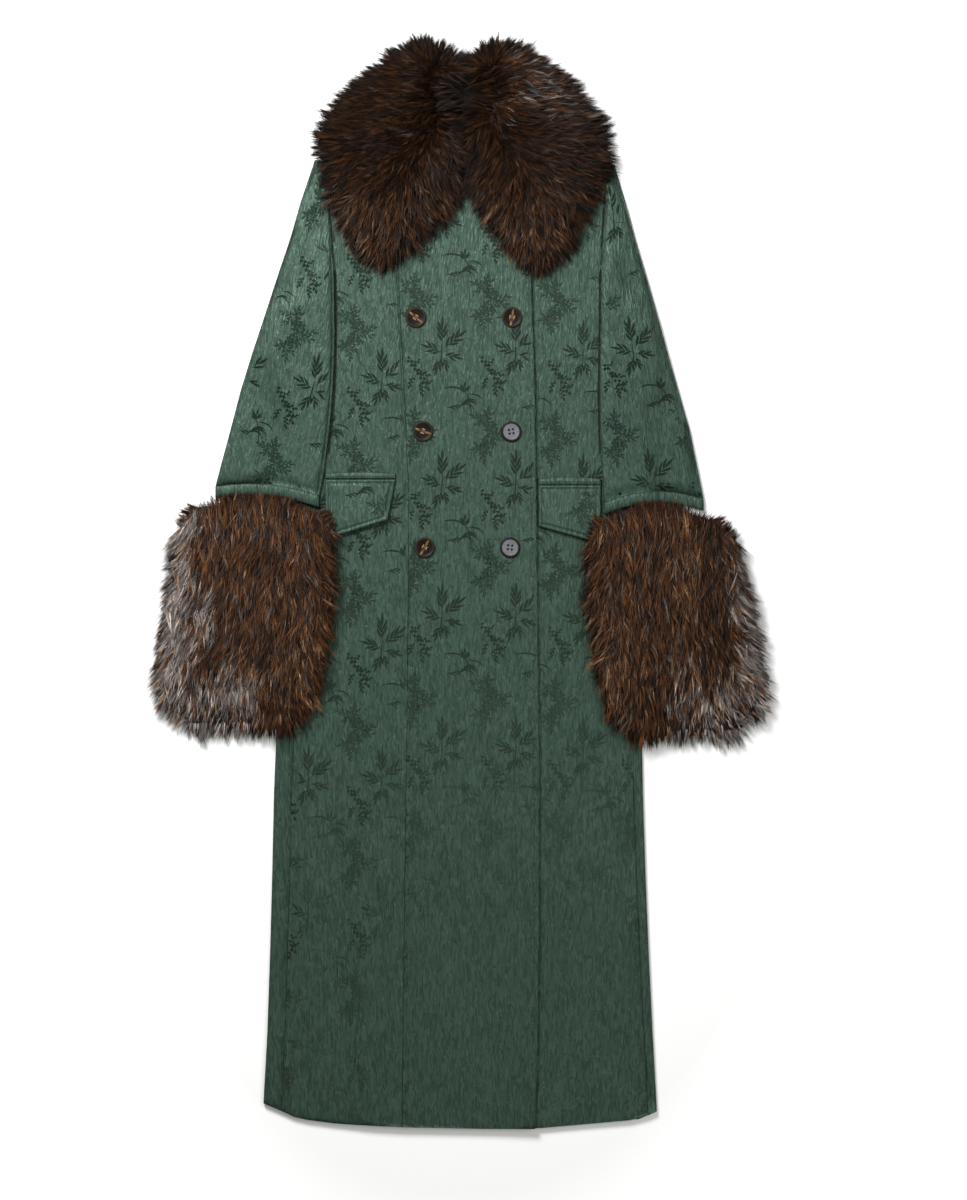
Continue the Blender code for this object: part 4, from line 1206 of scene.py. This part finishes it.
def thread_material():
    material, tree, shader = new_material("tan_thread")
    twist = add_node(tree, "ShaderNodeTexWave", {"Vector": object_place(tree), "Scale": 900.0,
                                                 "Distortion": 1.0})
    colour = mixed(tree, twist.outputs["Fac"], (0.11, 0.06, 0.03, 1.0), (0.26, 0.15, 0.07, 1.0))
    fill(tree, shader, {"Base Color": colour, "Roughness": 0.7})
    return material


# Light, floor and camera

CAMERA_HEIGHT, LENS = 5.0, 120.0
CAMERA_X, CAMERA_Y = 0.0294, -0.0175  # the middle of the photograph on the floor
LightRow = namedtuple("LightRow", "name x y z size power tint")
WHITE = (1.0, 1.0, 1.0)
LIGHTS = (
    LightRow("key_softbox", -0.62, 1.05, 1.36, 0.7, 74.0, WHITE),
    LightRow("low_fill", 0.15, -1.3, 1.2, 0.8, 4.6, (0.94, 1.0, 0.86)),
    LightRow("right_fill", 1.4, 0.0, 1.9, 1.0, 22.0, WHITE),
)
WORLD_STRENGTH = 0.17
# the floor is lit from below, as a white sweep, more so away from the coat
FLOOR_TONE, GLOW_NEAR, GLOW_FAR = 0.62, 0.08, 0.60
GlowEdge = namedtuple("GlowEdge", "across along start end")
GLOW_EDGE = GlowEdge(0.46, 0.76, 1.0, 1.5)
FLOOR_REACH, CAMERA_SIGHT = 12.0, 100.0


def make_lights(scene):
    world = bpy.data.worlds.new("studio")
    world.use_nodes = True
    fill(world.node_tree, world.node_tree.nodes["Background"], {"Color": (*WHITE, 1.0),
                                                                "Strength": WORLD_STRENGTH})
    scene.world = world
    for row in LIGHTS:
        lamp = bpy.data.lights.new(row.name, "AREA")
        lamp.size = row.size
        lamp.energy = row.power
        lamp.color = row.tint
        light = bpy.data.objects.new(row.name, lamp)
        light.location = (row.x, row.y, row.z)
        light.rotation_euler = (-Vector(light.location)).to_track_quat("-Z", "Y").to_euler()
        scene.collection.objects.link(light)


def make_floor(scene):
    mesh = bpy.data.meshes.new("floor")
    corners = [(-1, -1), (1, -1), (1, 1), (-1, 1)]
    mesh.from_pydata([(x * FLOOR_REACH, y * FLOOR_REACH, 0) for x, y in corners], [], [(0, 1, 2, 3)])
    material, tree, shader = new_material("white_floor")
    near = vector(tree, "MULTIPLY", object_place(tree), (1 / GLOW_EDGE.across, 1 / GLOW_EDGE.along, 0.0))
    glow = ramp(tree, vector(tree, "LENGTH", near), {"From Min": GLOW_EDGE.start, "From Max": GLOW_EDGE.end,
                                                     "To Min": GLOW_NEAR, "To Max": GLOW_FAR})
    fill(tree, shader, {"Base Color": (FLOOR_TONE, FLOOR_TONE, FLOOR_TONE, 1.0), "Roughness": 0.9,
                        "Specular IOR Level": 0.0, "Emission Color": glow, "Emission Strength": 1.0})
    mesh.materials.append(material)
    floor = bpy.data.objects.new("floor", mesh)
    scene.collection.objects.link(floor)


def make_camera(scene):
    lens = bpy.data.cameras.new("camera")
    lens.lens = LENS
    lens.clip_end = CAMERA_SIGHT
    camera = bpy.data.objects.new("camera", lens)
    camera.location = (CAMERA_X, CAMERA_Y, CAMERA_HEIGHT)
    scene.collection.objects.link(camera)
    scene.camera = camera


def make_stage():
    scene = bpy.context.scene
    scene.view_settings.view_transform = "Standard"
    make_lights(scene)
    make_floor(scene)
    make_camera(scene)


# The coat

SprigPlace = namedtuple("SprigPlace", "node x y")
SPRIGS = (
    SprigPlace("front_right_centre", -22, 300), SprigPlace("front_right_side", -97, 262),
    SprigPlace("front_left_side", 154, 295), SprigPlace("sleeve_top_right", -272, 270),
    SprigPlace("sleeve_top_left", 215, 300), SprigPlace("pocket_flap_right", -150, 190),
    SprigPlace("pocket_flap_left", 100, 220),
)


# on the sleeves the sprigs take their darker copies, which paint shade
JACQUARD = (("_sprigs", BOLD_REPEAT, SPRIG, SHADED_SLEEVE_SPRIG),
            ("_foliage", SOFT_REPEAT, FOLIAGE, SHADED_SLEEVE_FOLIAGE))


def lay_panels(grounds):
    """The cloth pieces, by their nodes."""
    body = grounds["body"]
    pieces = {}
    for node in ("front_right_centre", "front_right_side", "front_left_side"):
        pieces[node] = lay_cloth(node, body_relief, body, puff=FRONT_PUFF)
    for side in SIDES:
        node = "sleeve_top_" + side
        pieces[node] = lay_cloth(node, sleeve_relief(side), grounds[side], puff=SLEEVE_PUFF,
                                 settle=slope_shoulder(side))
        lay_cloth("sleeve_under_" + side, small_relief, grounds[side], across=PLAIN_CELL, along=PLAIN_CELL)
        lay_cloth("cuff_band_" + side, small_relief, body, along=BAND_ALONG, puff=BAND_PUFF)
        lay_cloth("side_panel_" + side, body_relief, body, across=SIDE_ACROSS, along=SIDE_ALONG)
        for part, puff in (("pocket_flap_", FLAP_PUFF), ("pocket_welt_", WELT_PUFF)):
            node = part + side
            pieces[node] = lay_cloth(node, flap_relief, body, across=FLAP_CELL, along=FLAP_CELL, puff=puff)
    for node in ("back", "front_left_centre"):
        lay_cloth(node, small_relief, body, across=PLAIN_CELL, along=PLAIN_CELL)
    return pieces


def make_cloth():
    crinkles, leaning = crinkle_group(), leaning_group()
    grounds = {side: satin(f"green_satin_{side}", crinkles, leaning, GROUND, lean)
               for side, lean in LEAN.items()}
    sprigs = {name + side: satin(f"jacquard{name}_{side}", crinkles, leaning,
                                 body_cloth if side == "body" else shaded_sleeve_cloth, lean)
              for name, _, body_cloth, shaded_sleeve_cloth in JACQUARD for side, lean in LEAN.items()}
    pieces = lay_panels(grounds)
    # the stand, deep in the neck opening, has painted shade in its colour
    stand = satin("stand_satin", crinkles, leaning, SHADED_STAND)
    lay_cloth("collar_stand", small_relief, stand, along=STAND_ALONG)
    for node, x, y in SPRIGS:
        side = node.split("_")[-1] if node.startswith("sleeve") else "body"
        for name, repeat, _, _ in JACQUARD:
            strokes = panel_strokes(repeat, node, (x, y), LEAN[side])
            lay_strokes(node + name, pieces[node], node, strokes, sprigs[name + side])
    # dark thread for the stitches, also the painted shade of the buttonhole and the painted shadow lines
    # beside the sleeves
    dark = satin("stitch_thread_and_painted_shadow", crinkles, leaning, STITCH_AND_SHADOW)
    node = "front_right_centre"
    lay_strokes("front_edge_stitches", pieces[node], node, front_stitches(), dark)
    # painted shadow lines of dark strokes on the body beside the sleeves
    for side in SIDES:
        node = f"front_{side}_side"
        painted_shadow_line = painted_sleeve_shadow(side, pieces["sleeve_top_" + side])
        lay_strokes("painted_sleeve_shadow_" + side, pieces[node], node, painted_shadow_line, dark)


def make_all_fur():
    hair = hair_material()
    for side in SIDES:
        make_fur("fur_collar_" + side, COLLAR_FUR, comb_collar(side), collar_tones, hair)
        make_fur("fur_cuff_" + side, CUFF_FUR, comb_cuff(side), cuff_tones(side), hair)


make_stage()
make_cloth()
make_all_fur()
marks = horn_group()
make_buttons({"dark": horn("dark_horn", marks, DARK_HORN), "grey": horn("grey_horn", marks, GREY_HORN)},
             thread_material())
